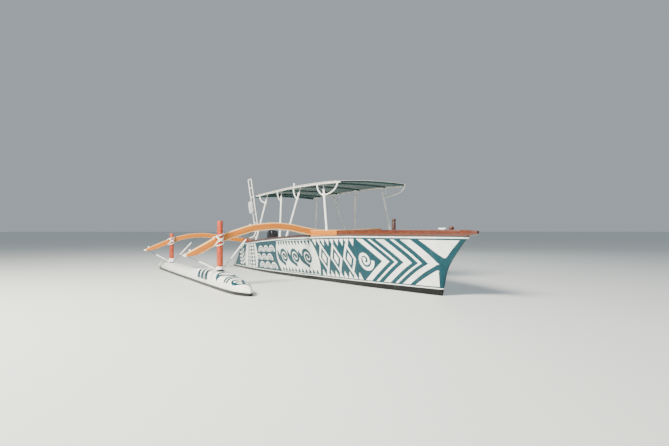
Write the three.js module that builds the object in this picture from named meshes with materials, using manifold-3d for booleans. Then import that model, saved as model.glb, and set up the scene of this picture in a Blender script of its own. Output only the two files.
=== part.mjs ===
// A motor outrigger canoe afloat, in millimetres: +X to the bow, +Y to port, +Z up.
// The origin is in the waterline plane, on the hull's centreline, 4.75 m aft of the stem.
// Places along the boat are measured aft of the stem's waterline point (aft), and places
// across it to starboard of the centreline (out), which is the side that the float is on.
import * as THREE from 'three';
import { mergeVertices } from 'three/addons/utils/BufferGeometryUtils.js';
import Module from 'manifold-3d';

const wasm = await Module();
wasm.setup();

// Driving dimensions
const BOW_X = 4750; // the stem's waterline point
const GAP = 0.3; // clearance between pieces that touch
const WALL = 35; // planking with its frames
const STEM_HALF = 14; // half the stem's thickness
const RAIL_AFT_END = 2540; // where the thick bow rail gives way to the beam's shelf
const RAIL_HEIGHT = 112;
const SHELF_TOP = 1177; // level top of the bar that the front beam butts against
const GUNWALE_HEIGHT = 45;
const RAIL_WIDTH = 66;
const RAIL_PROUD = 12; // how far rail and gunwale stand out past the planking
const SOLE_TOP = 280;
const SEAT_TOP = 700;
const BENCH_WIDTH = 400;
const COCKPIT = { from: 2480, to: 7500 };
const FOREDECK_TOP = 1060;
const AFT_DECK_TOP = 700;
const DECK_THICKNESS = 30;
const WELL = { from: 7960, half: 250 }; // the motor well, a slot open through the stern

const FLOAT_OUT = 3070; // the float's centreline
const POST_RADIUS = 66; // at its foot; it tapers upward
const BEAM_THICKNESS = 96;
const CANOPY = { front: 2230, rear: 7200, half: 950, camber: 45, cloth: 8, corner: 300 };
const LEG_RADIUS = 24;
const FRAME_RADIUS = 16;
const FRAME_SLACK = 1; // extra room for the frame under the sloping cloth

// Hull stations. Heights are above the waterline and halves are half-breadths.
// keel: lowest point, chine: corner between bottom and side, sheer: top edge of the side
const HULL = [
  { at: -680, keel: 1052, chineHalf: 15, chine: 1056, sheerHalf: 20, sheer: 1068 },
  { at: -600, keel: 1000, chineHalf: 16, chine: 1006, sheerHalf: 62, sheer: 1070 },
  { at: -420, keel: 820, chineHalf: 17, chine: 828, sheerHalf: 130, sheer: 1070 },
  { at: -220, keel: 590, chineHalf: 18, chine: 602, sheerHalf: 190, sheer: 1070 },
  { at: -120, keel: 420, chineHalf: 20, chine: 436, sheerHalf: 218, sheer: 1070 },
  { at: -40, keel: 140, chineHalf: 22, chine: 168, sheerHalf: 240, sheer: 1070 },
  { at: 0, keel: 0, chineHalf: 26, chine: 60, sheerHalf: 252, sheer: 1070 },
  { at: 120, keel: -120, chineHalf: 42, chine: 20, sheerHalf: 288, sheer: 1070 },
  { at: 400, keel: -230, chineHalf: 92, chine: -20, sheerHalf: 366, sheer: 1070 },
  { at: 1000, keel: -290, chineHalf: 188, chine: -50, sheerHalf: 505, sheer: 1070 },
  { at: 2000, keel: -320, chineHalf: 372, chine: -70, sheerHalf: 705, sheer: 1070 },
  { at: 3500, keel: -330, chineHalf: 530, chine: -80, sheerHalf: 925, sheer: 1036 },
  { at: 5000, keel: -320, chineHalf: 725, chine: -80, sheerHalf: 1000, sheer: 985 },
  { at: 6600, keel: -290, chineHalf: 850, chine: -75, sheerHalf: 975, sheer: 900 },
  { at: 8000, keel: -250, chineHalf: 862, chine: -70, sheerHalf: 930, sheer: 808 },
  { at: 8900, keel: -215, chineHalf: 815, chine: -65, sheerHalf: 855, sheer: 757 },
  { at: 9800, keel: -180, chineHalf: 755, chine: -60, sheerHalf: 790, sheer: 722 },
  { at: 10400, keel: -130, chineHalf: 700, chine: -50, sheerHalf: 735, sheer: 702 },
];
// The transom leans forward from its foot, and below the water it is cut back under
const TRANSOM = { topAft: 8640, topHeight: 770, waterAft: 9950, deepAft: 9800, depth: 600 };
const TRANSOM_WALL = 70; // along the boat, which is 35 square to the raked planking

// Float stations: top and bottom heights, half-breadth, and how square the section is
const FLOAT = [
  { at: 1500, top: 95, bottom: 35, half: 20, square: 2.1 },
  { at: 1530, top: 122, bottom: 10, half: 48, square: 2.1 },
  { at: 1610, top: 155, bottom: -30, half: 84, square: 2.2 },
  { at: 1740, top: 186, bottom: -75, half: 126, square: 2.4 },
  { at: 1930, top: 218, bottom: -125, half: 172, square: 2.8 },
  { at: 2400, top: 256, bottom: -180, half: 206, square: 3.2 },
  { at: 3100, top: 312, bottom: -215, half: 218, square: 4.0 },
  { at: 3700, top: 340, bottom: -220, half: 220, square: 4.0 },
  { at: 4400, top: 332, bottom: -222, half: 220, square: 4.0 },
  { at: 5100, top: 285, bottom: -225, half: 220, square: 4.0 },
  { at: 5900, top: 222, bottom: -225, half: 220, square: 4.0 },
  { at: 7700, top: 232, bottom: -200, half: 212, square: 3.6 },
  { at: 9000, top: 240, bottom: -150, half: 190, square: 3.0 },
  { at: 9650, top: 222, bottom: -90, half: 150, square: 2.5 },
  { at: 10000, top: 188, bottom: -30, half: 100, square: 2.2 },
  { at: 10090, top: 140, bottom: 20, half: 40, square: 2.1 },
];

// Crossbeam centrelines by distance out from the hull's centreline, outermost point last
const BEAMS = [
  {
    name: 'front', post: 3420, postTop: 1375, topRadius: 57, collar: 86, depth: 156,
    line: [
      { at: -1010, height: 1155 }, { at: -900, height: 1153 }, { at: 0, height: 1112 },
      { at: 600, height: 1118 }, { at: 930, height: 1150 }, { at: 1150, height: 1188 },
      { at: 1450, height: 1246 }, { at: 1800, height: 1272 }, { at: 2280, height: 1230 },
      { at: 2580, height: 1149 }, { at: 3070, height: 976 }, { at: 3400, height: 798 },
      { at: 3775, height: 596 },
    ],
  },
  {
    name: 'rear', post: 8500, postTop: 1100, topRadius: 52, collar: 120, depth: 132,
    line: [
      { at: 330, height: 767 }, { at: 640, height: 845 }, { at: 900, height: 884 },
      { at: 1300, height: 938 }, { at: 1766, height: 1003 }, { at: 2130, height: 1037 },
      { at: 2500, height: 1016 }, { at: 2780, height: 960 }, { at: 3070, height: 872 },
      { at: 3400, height: 745 }, { at: 3810, height: 558 },
    ],
  },
];
const BEAM_TIP = { length: 330, share: 0.26 }; // the underside rises over this length to a thin tip
const BRACES = [{ name: 'inboard', foot: 96, head: 740 }, { name: 'outboard', foot: -96, head: -640 }];

// Canopy legs on each side: foot on the rail, lean of the head, and curved arms that leave the
// legs at one height and end on the canopy's side tube (distance along the boat, aft positive)
const LEG_TOP_OUT = 785;
const ARM_HEIGHT = 1970;
const LEGS = [
  { name: '1', foot: 2870, lean: 270, arms: [90, -750] },
  { name: '2', foot: 4760, lean: -380, arms: [20] },
  { name: '3', foot: 5210, lean: 385, arms: [10] },
  { name: '4', foot: 7100, lean: -480, arms: [180] },
];
const BOW_PLACES = [2300, 3210, 4380, 5590, 6670, 7150];
const EDGE = [
  { at: 2200, height: 2205 }, { at: 3100, height: 2236 }, { at: 4500, height: 2252 },
  { at: 5650, height: 2231 }, { at: 7250, height: 2198 },
];

// Finishes
function finish(color, roughness, metalness = 0) {
  return new THREE.MeshStandardMaterial({ color, roughness, metalness });
}
const TEAL_PAINT = finish(0x0e6b78, 0.35);
const WHITE_PAINT = finish(0xf2f6f4, 0.4);
const DECK_PAINT = finish(0xd9d4c6, 0.7);
const VARNISHED_RAIL = finish(0x8a4a2c, 0.35);
const HONEY_WOOD = finish(0xdb9f52, 0.4);
const POST_WOOD = finish(0xd2603a, 0.5);
const BOLLARD_WOOD = finish(0x7a3f26, 0.45);
const WHITE_TUBE = finish(0xeef1f0, 0.35);
const CANVAS = finish(0xdfe6e0, 0.9);
const BLACK_PLASTIC = finish(0x15171a, 0.35);
const GREY_CASTING = finish(0x3c4044, 0.5, 0.3);
const STEEL = finish(0xb9bdc0, 0.3, 1);
const FENDER_VINYL = finish(0xb9bcc2, 0.5);

// Reading a station table

// Value of one column at a place, on a curve through the rows that never overshoots them.
function along(table, column, place) {
  const last = table.length - 1;
  const at = Math.min(Math.max(place, table[0].at), table[last].at);
  let i = 0;
  while (i < last - 1 && at > table[i + 1].at) i += 1;
  const rise = (k) => (table[k + 1][column] - table[k][column]) / (table[k + 1].at - table[k].at);
  const slope = (k) => {
    if (k === 0) return rise(0);
    if (k === last) return rise(last - 1);
    const before = rise(k - 1);
    const after = rise(k);
    return before * after <= 0 ? 0 : (2 * before * after) / (before + after);
  };
  const span = table[i + 1].at - table[i].at;
  const u = (at - table[i].at) / span;
  const level = table[i][column] * (1 + 2 * u) * (1 - u) ** 2 + table[i + 1][column] * u * u * (3 - 2 * u);
  return level + span * u * (1 - u) * (slope(i) * (1 - u) - slope(i + 1) * u);
}

function place(aft, out, height) {
  return [BOW_X - aft, -out, height];
}

function steps(from, to, count) {
  return Array.from({ length: count + 1 }, (_, i) => from + ((to - from) * i) / count);
}

// Making and joining solids

function solid(geometry) {
  const bare = new THREE.BufferGeometry();
  bare.setAttribute('position', geometry.attributes.position);
  bare.setIndex(geometry.index);
  const merged = mergeVertices(bare, 1e-3);
  const points = merged.attributes.position;
  const corners = Uint32Array.from(merged.index.array);
  const [a, b, c] = [new THREE.Vector3(), new THREE.Vector3(), new THREE.Vector3()];
  let volume = 0;
  for (let i = 0; i < corners.length; i += 3) {
    a.fromBufferAttribute(points, corners[i]);
    b.fromBufferAttribute(points, corners[i + 1]);
    c.fromBufferAttribute(points, corners[i + 2]);
    volume += a.dot(b.cross(c));
  }
  if (volume < 0) corners.reverse();
  return new wasm.Manifold(new wasm.Mesh({
    numProp: 3,
    vertProperties: Float32Array.from(points.array),
    triVerts: corners,
  }));
}

function geometryOf(body) {
  const mesh = body.getMesh();
  const geometry = new THREE.BufferGeometry();
  geometry.setAttribute('position', new THREE.BufferAttribute(mesh.vertProperties, 3));
  geometry.setIndex(new THREE.BufferAttribute(mesh.triVerts, 1));
  geometry.computeVertexNormals();
  return geometry;
}

function join(...bodies) {
  return bodies.reduce((whole, body) => whole.add(body));
}

function cut(body, ...cutters) {
  return cutters.reduce((rest, cutter) => rest.subtract(cutter), body);
}

// Box between two distances aft, two distances out and two heights.
function box(aft, out, height) {
  const geometry = new THREE.BoxGeometry(aft[1] - aft[0], out[1] - out[0], height[1] - height[0]);
  const middle = place((aft[0] + aft[1]) / 2, (out[0] + out[1]) / 2, (height[0] + height[1]) / 2);
  return solid(geometry.translate(...middle));
}

// Straight round bar between two points.
function rod(from, to, radius, sides = 12, endRadius = radius) {
  const start = new THREE.Vector3(...from);
  const end = new THREE.Vector3(...to);
  const geometry = new THREE.CylinderGeometry(endRadius, radius, start.distanceTo(end), sides);
  const direction = end.clone().sub(start).normalize();
  const upward = new THREE.Vector3(0, 1, 0);
  geometry.applyQuaternion(new THREE.Quaternion().setFromUnitVectors(upward, direction));
  const middle = start.add(end).multiplyScalar(0.5);
  return solid(geometry.translate(middle.x, middle.y, middle.z));
}

// Round tube on a smooth curve through points.
function bentTube(points, radius, stepCount, sides = 10) {
  const knots = points.map((p) => new THREE.Vector3(...p));
  const curve = new THREE.CatmullRomCurve3(knots, false, 'centripetal');
  const ring = new THREE.Shape();
  ring.absarc(0, 0, radius, 0, 2 * Math.PI);
  return solid(new THREE.ExtrudeGeometry(ring, {
    steps: stepCount, extrudePath: curve, curveSegments: sides / 2, bevelEnabled: false,
  }));
}

// Body through rings of equally many points, closed by a fan at each end.
function loft(rings) {
  const count = rings[0].length;
  const points = rings.flat();
  const index = [];
  rings.slice(1).forEach((_, r) => {
    for (let k = 0; k < count; k += 1) {
      const [a, b] = [r * count + k, r * count + ((k + 1) % count)];
      index.push(a, b, a + count, b, b + count, a + count);
    }
  });
  [rings[0], rings[rings.length - 1]].forEach((ring, end) => {
    const middle = [0, 1, 2].map((axis) => ring.reduce((sum, p) => sum + p[axis], 0) / count);
    const first = end ? (rings.length - 1) * count : 0;
    for (let k = 0; k < count; k += 1) {
      const [a, b] = [first + k, first + ((k + 1) % count)];
      index.push(points.length, ...(end ? [a, b] : [b, a]));
    }
    points.push(middle);
  });
  const geometry = new THREE.BufferGeometry();
  geometry.setAttribute('position', new THREE.Float32BufferAttribute(points.flat(), 3));
  geometry.setIndex(index);
  return solid(geometry);
}

// Sheet of even thickness hanging below a grid of points (rows of equally many points).
function sheet(rows, thickness) {
  const within = (k, list) => Math.min(Math.max(k, 0), list.length - 1);
  const at = (i, j) => new THREE.Vector3(...rows[within(i, rows)][within(j, rows[0])]);
  const under = rows.map((row, i) => row.map((p, j) => {
    const lengthwise = at(i + 1, j).sub(at(i - 1, j));
    const normal = at(i, j + 1).sub(at(i, j - 1)).cross(lengthwise).normalize();
    return new THREE.Vector3(...p).addScaledVector(normal, thickness).toArray();
  }));
  return loft(rows.map((row, i) => [...row, ...under[i].reverse()]));
}

// Outline swept straight across: points are [aft, height] and it runs between two distances out.
function profile(points, out) {
  const shape = new THREE.Shape(points.map(([aft, height]) => new THREE.Vector2(BOW_X - aft, height)));
  const geometry = new THREE.ExtrudeGeometry(shape, { depth: out[1] - out[0], bevelEnabled: false });
  return solid(geometry.rotateX(Math.PI / 2).translate(0, -out[0], 0));
}

// Outline swept along the boat: points are [out, height] and it runs between two distances aft.
function frame(points, aft) {
  const shape = new THREE.Shape(points.map(([out, height]) => new THREE.Vector2(-out, height)));
  const geometry = new THREE.ExtrudeGeometry(shape, { depth: aft[1] - aft[0], bevelEnabled: false });
  const turn = new THREE.Matrix4().makeBasis(
    new THREE.Vector3(0, 1, 0), new THREE.Vector3(0, 0, 1), new THREE.Vector3(1, 0, 0),
  );
  return solid(geometry.applyMatrix4(turn).translate(BOW_X - aft[1], 0, 0));
}

const boat = new THREE.Group();

function add(name, body, material) {
  const mesh = new THREE.Mesh(geometryOf(body), material);
  mesh.name = name;
  boat.add(mesh);
}

const SIDES = [{ name: 'starboard', sign: 1 }, { name: 'port', sign: -1 }];

// Hull

// Hull section at a place, drawn in by an inset and carried above the sheer by a rise.
function hullRing(aft, inset, rise) {
  const row = (column) => along(HULL, column, aft);
  const flare = (row('sheerHalf') - row('chineHalf')) / (row('sheer') - row('chine'));
  const sheerHalf = row('sheerHalf') + flare * rise - inset;
  const chineHalf = Math.max(row('chineHalf') - inset * 1.1, STEM_HALF * 0.5);
  const chine = row('chine') + inset * 0.5;
  const keel = row('keel') + inset;
  const keelHalf = Math.min(STEM_HALF, chineHalf * 0.9);
  const half = [[sheerHalf, row('sheer') + rise], [chineHalf, chine], [keelHalf, keel]];
  const other = half.map(([out, height]) => [-out, height]).reverse();
  return [...half, ...other].map(([out, height]) => place(aft, out, height));
}

const HULL_PLACES = [
  -680, -640, -600, -540, -480, -420, -320, -220, -160, -120, -80, -40, 0, 60, 120, 250, 400,
  ...steps(700, 10300, 32),
];

function innerHull(inset) {
  return loft(HULL_PLACES.filter((aft) => aft >= -420).map((aft) => hullRing(aft, inset, 160)));
}

// Everything aft of the raked transom, moved forward by an inset.
function sternCutter(inset) {
  const rake = (TRANSOM.waterAft - TRANSOM.topAft) / TRANSOM.topHeight;
  const line = (height) => TRANSOM.waterAft - rake * height - inset;
  return profile([
    [line(1400), 1400], [line(0), 0], [TRANSOM.deepAft - inset, -TRANSOM.depth],
    [11500, -TRANSOM.depth], [11500, 1400],
  ], [-1500, 1500]);
}

function wellCutter(inset) {
  return box([WELL.from - inset, 11500], [-WELL.half - inset, WELL.half + inset], [-700, 1500]);
}

const coaming = box([WELL.from - 140, 9500], [-WELL.half - WALL - 2, WELL.half + WALL + 2], [760, 1200]);
const hullSolid = cut(
  loft(HULL_PLACES.map((aft) => hullRing(aft, 0, 0))), sternCutter(0), wellCutter(0), coaming,
);
const hullCavity = cut(innerHull(WALL), sternCutter(TRANSOM_WALL), wellCutter(WALL));
const hullRoom = cut(innerHull(WALL + 0.5), sternCutter(TRANSOM_WALL + 1), wellCutter(WALL + 0.5));

// Flat panel trimmed to the inside of the hull.
function panel(aft, height) {
  return box(aft, [-1400, 1400], height).intersect(hullRoom);
}

function benches(sign) {
  const inner = (aft) => along(HULL, 'sheerHalf', aft) - BENCH_WIDTH;
  const [from, to] = [3900, 7420];
  const corners = [[from, inner(from)], [to, inner(to)], [to, 1400], [from, 1400]];
  const shape = new THREE.Shape(corners.map(([aft, out]) => new THREE.Vector2(BOW_X - aft, -out * sign)));
  const depth = SEAT_TOP - SOLE_TOP - GAP;
  const geometry = new THREE.ExtrudeGeometry(shape, { depth, bevelEnabled: false });
  return solid(geometry.translate(0, 0, SOLE_TOP + GAP)).intersect(hullRoom);
}

// Value of a hull column on the straight line between the two stations that the hull is drawn at.
function chord(column, aft) {
  const i = HULL_PLACES.findIndex((at) => at >= aft);
  const [before, after] = [HULL_PLACES[i - 1], HULL_PLACES[i]];
  const share = (aft - before) / (after - before);
  return along(HULL, column, before) * (1 - share) + along(HULL, column, after) * share;
}

// Strip along the sheer: a rounded bar whose sides follow the hull's top edge, up to a level.
function sheerStrip(sign, from, to, level, width) {
  const places = [from, ...HULL_PLACES.filter((aft) => aft > from && aft < to), to];
  return loft(places.map((aft) => {
    const outer = chord('sheerHalf', aft) + RAIL_PROUD;
    const inner = Math.max(outer - width, GAP);
    const base = chord('sheer', aft) + GAP;
    const top = level(chord('sheer', aft)) + GAP;
    const round = Math.min((top - base) * 0.3, (outer - inner) * 0.3);
    return [
      [inner, base], [outer, base], [outer, top - round],
      [outer - round, top], [inner + round, top], [inner, top - round],
    ].map(([out, height]) => place(aft, sign * out, height));
  }));
}

const beamAft = (beam) => beam.post + POST_RADIUS + BEAM_THICKNESS / 2 + GAP;
const SHELF_END = beamAft(BEAMS[0]) - BEAM_THICKNESS / 2 - 1;

// Shelf: a deep bar from the bow rail's end to the front beam. The thin gunwale starts behind it.
function shelfBody(sign, grow) {
  return sheerStrip(sign, RAIL_AFT_END + GAP, SHELF_END, () => SHELF_TOP + grow, RAIL_WIDTH);
}

function gunwaleBody(sign, grow) {
  return sheerStrip(sign, SHELF_END + GAP, 8600, (sheer) => sheer + GUNWALE_HEIGHT + grow, RAIL_WIDTH - 16);
}

// Crossbeams

function beamPoint(beam, out) {
  const step = 10;
  const level = along(beam.line, 'height', out);
  const rise = along(beam.line, 'height', out + step) - along(beam.line, 'height', out - step);
  const slope = rise / (2 * step);
  return { out, level, slope };
}

// Share of the beam's depth that is left at a place: full, then thinning over the tip's length.
function beamShare(beam, out) {
  const into = Math.max(out - beam.line[beam.line.length - 1].at + BEAM_TIP.length, 0) / BEAM_TIP.length;
  return 1 - (1 - BEAM_TIP.share) * into ** 1.5;
}

function beamBody(beam, grow) {
  const last = beam.line[beam.line.length - 1].at;
  const tip = steps(last - BEAM_TIP.length, last + grow, 5);
  const places = [...steps(beam.line[0].at - grow, tip[0], 28), ...tip.slice(1)];
  const edge = (offset) => places.map((out) => {
    const { level, slope } = beamPoint(beam, out);
    const size = Math.hypot(1, slope);
    const shift = offset(beamShare(beam, out));
    return [out - (shift * slope) / size, level + shift / size];
  });
  const top = edge(() => beam.depth / 2 + grow);
  const underside = edge((share) => beam.depth * (0.5 - share) - grow);
  const outline = [...top, ...underside.reverse()];
  const half = BEAM_THICKNESS / 2 + grow;
  return frame(outline, [beamAft(beam) - half, beamAft(beam) + half]);
}

function buildHull() {
  const beamSlots = BEAMS.map((beam) => beamBody(beam, 1));
  add('hull_shell', cut(hullSolid, hullCavity, ...beamSlots), TEAL_PAINT);
  const foredeckUnder = FOREDECK_TOP - DECK_THICKNESS;
  add('foredeck', panel([-400, COCKPIT.from - 30], [foredeckUnder, FOREDECK_TOP]), WHITE_PAINT);
  const bulkhead = panel([COCKPIT.from - 60, COCKPIT.from - 30], [SOLE_TOP + GAP, foredeckUnder - 0.5]);
  add('bulkhead_front', bulkhead, DECK_PAINT);
  const aftUnder = AFT_DECK_TOP - DECK_THICKNESS - GAP;
  add('bulkhead_aft', panel([COCKPIT.to, COCKPIT.to + 30], [SOLE_TOP + GAP, aftUnder]), DECK_PAINT);
  add('cockpit_sole', panel([COCKPIT.from - 60, COCKPIT.to + 30], [SOLE_TOP - 30, SOLE_TOP]), DECK_PAINT);
  add('aft_deck', panel([COCKPIT.to, 9300], [AFT_DECK_TOP - DECK_THICKNESS, AFT_DECK_TOP]), DECK_PAINT);
  SIDES.forEach(({ name, sign }) => {
    add(`bench_${name}`, benches(sign), DECK_PAINT);
    const rail = sheerStrip(sign, -560, RAIL_AFT_END, (sheer) => sheer + RAIL_HEIGHT, RAIL_WIDTH);
    add(`bow_rail_${name}`, rail, VARNISHED_RAIL);
    add(`beam_shelf_${name}`, cut(shelfBody(sign, 0), ...beamSlots), HONEY_WOOD);
    add(`gunwale_${name}`, cut(gunwaleBody(sign, 0), ...beamSlots), VARNISHED_RAIL);
  });
  const tip = [
    [-900, 30], [-800, 62], [-560 - GAP, 92], [-560 - GAP, -92], [-800, -62], [-900, -30],
  ].map(([aft, out]) => new THREE.Vector2(BOW_X - aft, -out));
  const prow = new THREE.ExtrudeGeometry(new THREE.Shape(tip), { depth: RAIL_HEIGHT, bevelEnabled: false });
  add('prow_board', solid(prow.translate(0, 0, 1070 + GAP)), VARNISHED_RAIL);
}

// Float

function floatBody(grow) {
  const sides = 18;
  return loft([
    1500, 1512, 1530, 1565, 1610, 1740, 1930, 2160, ...steps(2400, 9000, 18),
    9350, 9650, 9840, 10000, 10060, 10090,
  ].map((aft) => {
    const [top, bottom] = [along(FLOAT, 'top', aft) + grow, along(FLOAT, 'bottom', aft) - grow];
    const half = along(FLOAT, 'half', aft) + grow;
    const power = 2 / along(FLOAT, 'square', aft);
    return steps(0, 2 * Math.PI, sides).slice(0, sides).map((angle) => {
      const [across, up] = [Math.cos(angle), Math.sin(angle)];
      const out = FLOAT_OUT + half * Math.sign(across) * Math.abs(across) ** power;
      const height = (top + bottom) / 2 + ((top - bottom) / 2) * Math.sign(up) * Math.abs(up) ** power;
      return place(aft, out, height);
    });
  }));
}

function buildFloat() {
  const clear = floatBody(GAP);
  add('float', floatBody(0), WHITE_PAINT);
  BEAMS.forEach((beam) => {
    const deck = along(FLOAT, 'top', beam.post);
    const upright = (radius, from, to, endRadius = radius) => (
      rod(place(beam.post, FLOAT_OUT, from), place(beam.post, FLOAT_OUT, to), radius, 24, endRadius)
    );
    const collarTop = deck + beam.collar;
    const bore = upright(POST_RADIUS + GAP, 0, 900);
    const collar = cut(upright(POST_RADIUS + 9, deck - 60, collarTop), bore, clear);
    add(`float_collar_${beam.name}`, collar, WHITE_PAINT);
    const post = upright(POST_RADIUS, deck - 60, beam.postTop, beam.topRadius);
    add(`float_post_${beam.name}`, cut(post, clear), POST_WOOD);
    add(`crossbeam_${beam.name}`, beamBody(beam, 0), HONEY_WOOD);
    BRACES.forEach((brace) => {
      const foot = place(beam.post, FLOAT_OUT - brace.foot * 0.5, deck + 18);
      const reach = FLOAT_OUT - brace.head;
      const middle = along(beam.line, 'height', reach) + (beam.depth / 2) * (1 - beamShare(beam, reach));
      const head = place(beamAft(beam) - 20, reach, middle);
      const socket = upright(POST_RADIUS + 9 + GAP, deck - 60, collarTop + GAP);
      const around = upright(POST_RADIUS + GAP, deck - 60, beam.postTop);
      const strut = cut(rod(foot, head, 18, 12), clear, socket, around, beamBody(beam, GAP));
      add(`brace_${beam.name}_${brace.name}`, largest(strut), WHITE_TUBE);
    });
  });
}

// The largest piece of a body that cutting has parted.
function largest(body) {
  return body.decompose().sort((a, b) => b.volume() - a.volume())[0];
}

// Canopy

const camber = (out) => CANOPY.camber * (1 - (out / CANOPY.half) ** 2);

// Half-breadth of the canopy, drawn in on a curve at the front corners.
function canopyHalf(aft) {
  const into = Math.max(CANOPY.front + CANOPY.corner - aft, 0) / CANOPY.corner;
  return CANOPY.half - 130 * into ** 2;
}

function canopyTop(aft, out) {
  return along(EDGE, 'height', aft) + camber(out);
}

function buildCanopy() {
  const tubeLevel = (aft, out) => canopyTop(aft, out) - CANOPY.cloth - FRAME_RADIUS - FRAME_SLACK;
  const sideTubes = SIDES.map(({ sign }) => steps(CANOPY.front + 40, CANOPY.rear - 60, 12).map(
    (aft) => place(aft, sign * (canopyHalf(aft) - 22), tubeLevel(aft, canopyHalf(aft) - 22)),
  ));
  const sideClear = sideTubes.map((line) => bentTube(line, FRAME_RADIUS + 1, 16, 10));
  const bowTubes = (radius) => BOW_PLACES.map((aft) => {
    const reach = canopyHalf(aft) - 22;
    const line = steps(-reach, reach, 10).map((out) => place(aft, out, tubeLevel(aft, out)));
    return bentTube(line, radius, 12, 8);
  });
  const bows = bowTubes(FRAME_RADIUS);
  const bowClear = bowTubes(FRAME_RADIUS + GAP * 2);
  SIDES.forEach(({ name }, i) => {
    add(`canopy_side_${name}`, bentTube(sideTubes[i], FRAME_RADIUS, 16), WHITE_TUBE);
  });
  bows.forEach((bow, i) => add(`canopy_bow_${i + 1}`, largest(cut(bow, ...sideClear)), WHITE_TUBE));

  SIDES.forEach(({ name, sign }, side) => LEGS.forEach((leg) => {
    const footOut = along(HULL, 'sheerHalf', leg.foot) - 12;
    const onShelf = leg.foot < SHELF_END;
    const footLevel = (onShelf ? SHELF_TOP : chord('sheer', leg.foot) + GUNWALE_HEIGHT) + 2 * GAP;
    const topAft = leg.foot + leg.lean;
    const underCloth = CANOPY.cloth + 2 * FRAME_RADIUS + 2;
    const head = [topAft, LEG_TOP_OUT, canopyTop(topAft, LEG_TOP_OUT) - underCloth];
    const at = (share) => [
      leg.foot + share * (head[0] - leg.foot),
      sign * (footOut + share * (head[1] - footOut)),
      footLevel + share * (head[2] - footLevel),
    ];
    const pieces = [rod(place(...at(0)), place(...at(1)), LEG_RADIUS)];
    pieces.push(rod(place(...at(-0.03)), place(...at(0.07)), LEG_RADIUS + 5));
    leg.arms.forEach((reach) => {
      const [aft, out, height] = at((ARM_HEIGHT - footLevel) / (head[2] - footLevel));
      const endAft = aft + reach;
      const endOut = sign * (canopyHalf(endAft) - 22);
      const endLevel = tubeLevel(endAft, Math.abs(endOut));
      const bend = steps(0, Math.PI / 2, 6).map((turn) => place(
        aft + (endAft - aft) * Math.sin(turn),
        out + (endOut - out) * Math.sin(turn),
        height + (endLevel - height) * (1 - Math.cos(turn)),
      ));
      pieces.push(bentTube(bend, 17, 8, 8));
    });
    const level = box([leg.foot - 400, leg.foot + 400], [-1300, 1300], [footLevel - 300, footLevel - 2]);
    const rail = onShelf ? shelfBody(sign, GAP) : gunwaleBody(sign, GAP);
    const body = cut(join(...pieces), level, rail, sideClear[side], ...bowClear);
    add(`canopy_leg_${name}_${leg.name}`, largest(body), WHITE_TUBE);
  }));

  add('canopy_cloth', canopyCloth(0, CANOPY.cloth), CANVAS);
}

// The cloth with its rear flap, raised by a lift and of a given thickness.
function canopyCloth(lift, thickness) {
  const flap = [[0, 0], [8, -8], [10, -60]].map(([aft, drop]) => ({ aft: CANOPY.rear + aft, drop }));
  const rows = [...steps(CANOPY.front, CANOPY.rear - 60, 16).map((aft) => ({ aft, drop: 0 })), ...flap];
  return sheet(rows.map(({ aft, drop }) => steps(-1, 1, 12).map((share) => {
    const out = share * canopyHalf(aft);
    return place(aft, out, canopyTop(Math.min(aft, CANOPY.rear), out) + drop + lift);
  })), thickness);
}

// Outboard motor, in the well. It tilts about TILT and steers about the upright line at STEER_AFT.
const TILT = { aft: 8040, height: 800 };
const STEER_AFT = 8130;
const PROPELLER = { aft: 8376, height: -330, radius: 128, blades: 3 };
const CLAMP_HALF = 95; // inner face of each clamp plate
const CLAMP_PLATE = 22;
const PIN_RADIUS = 12;
const HOUSING = { radius: 34, bore: 17, low: 470, high: 780 };

// Upright round-cornered body through level rings: middle, half-length and half-breadth.
function ringedBody(levels, sides = 24) {
  const turns = steps(0, 2 * Math.PI, sides).slice(0, sides);
  const squared = (value) => Math.sign(value) * Math.abs(value) ** 0.7;
  return loft(levels.map(({ height, aft, long, wide }) => turns.map((turn) => (
    place(aft + long * squared(Math.cos(turn)), wide * squared(Math.sin(turn)), height)
  ))));
}

function crossRod(aft, height, half, radius, sides = 18) {
  return rod(place(aft, -half, height), place(aft, half, height), radius, sides);
}

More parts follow.
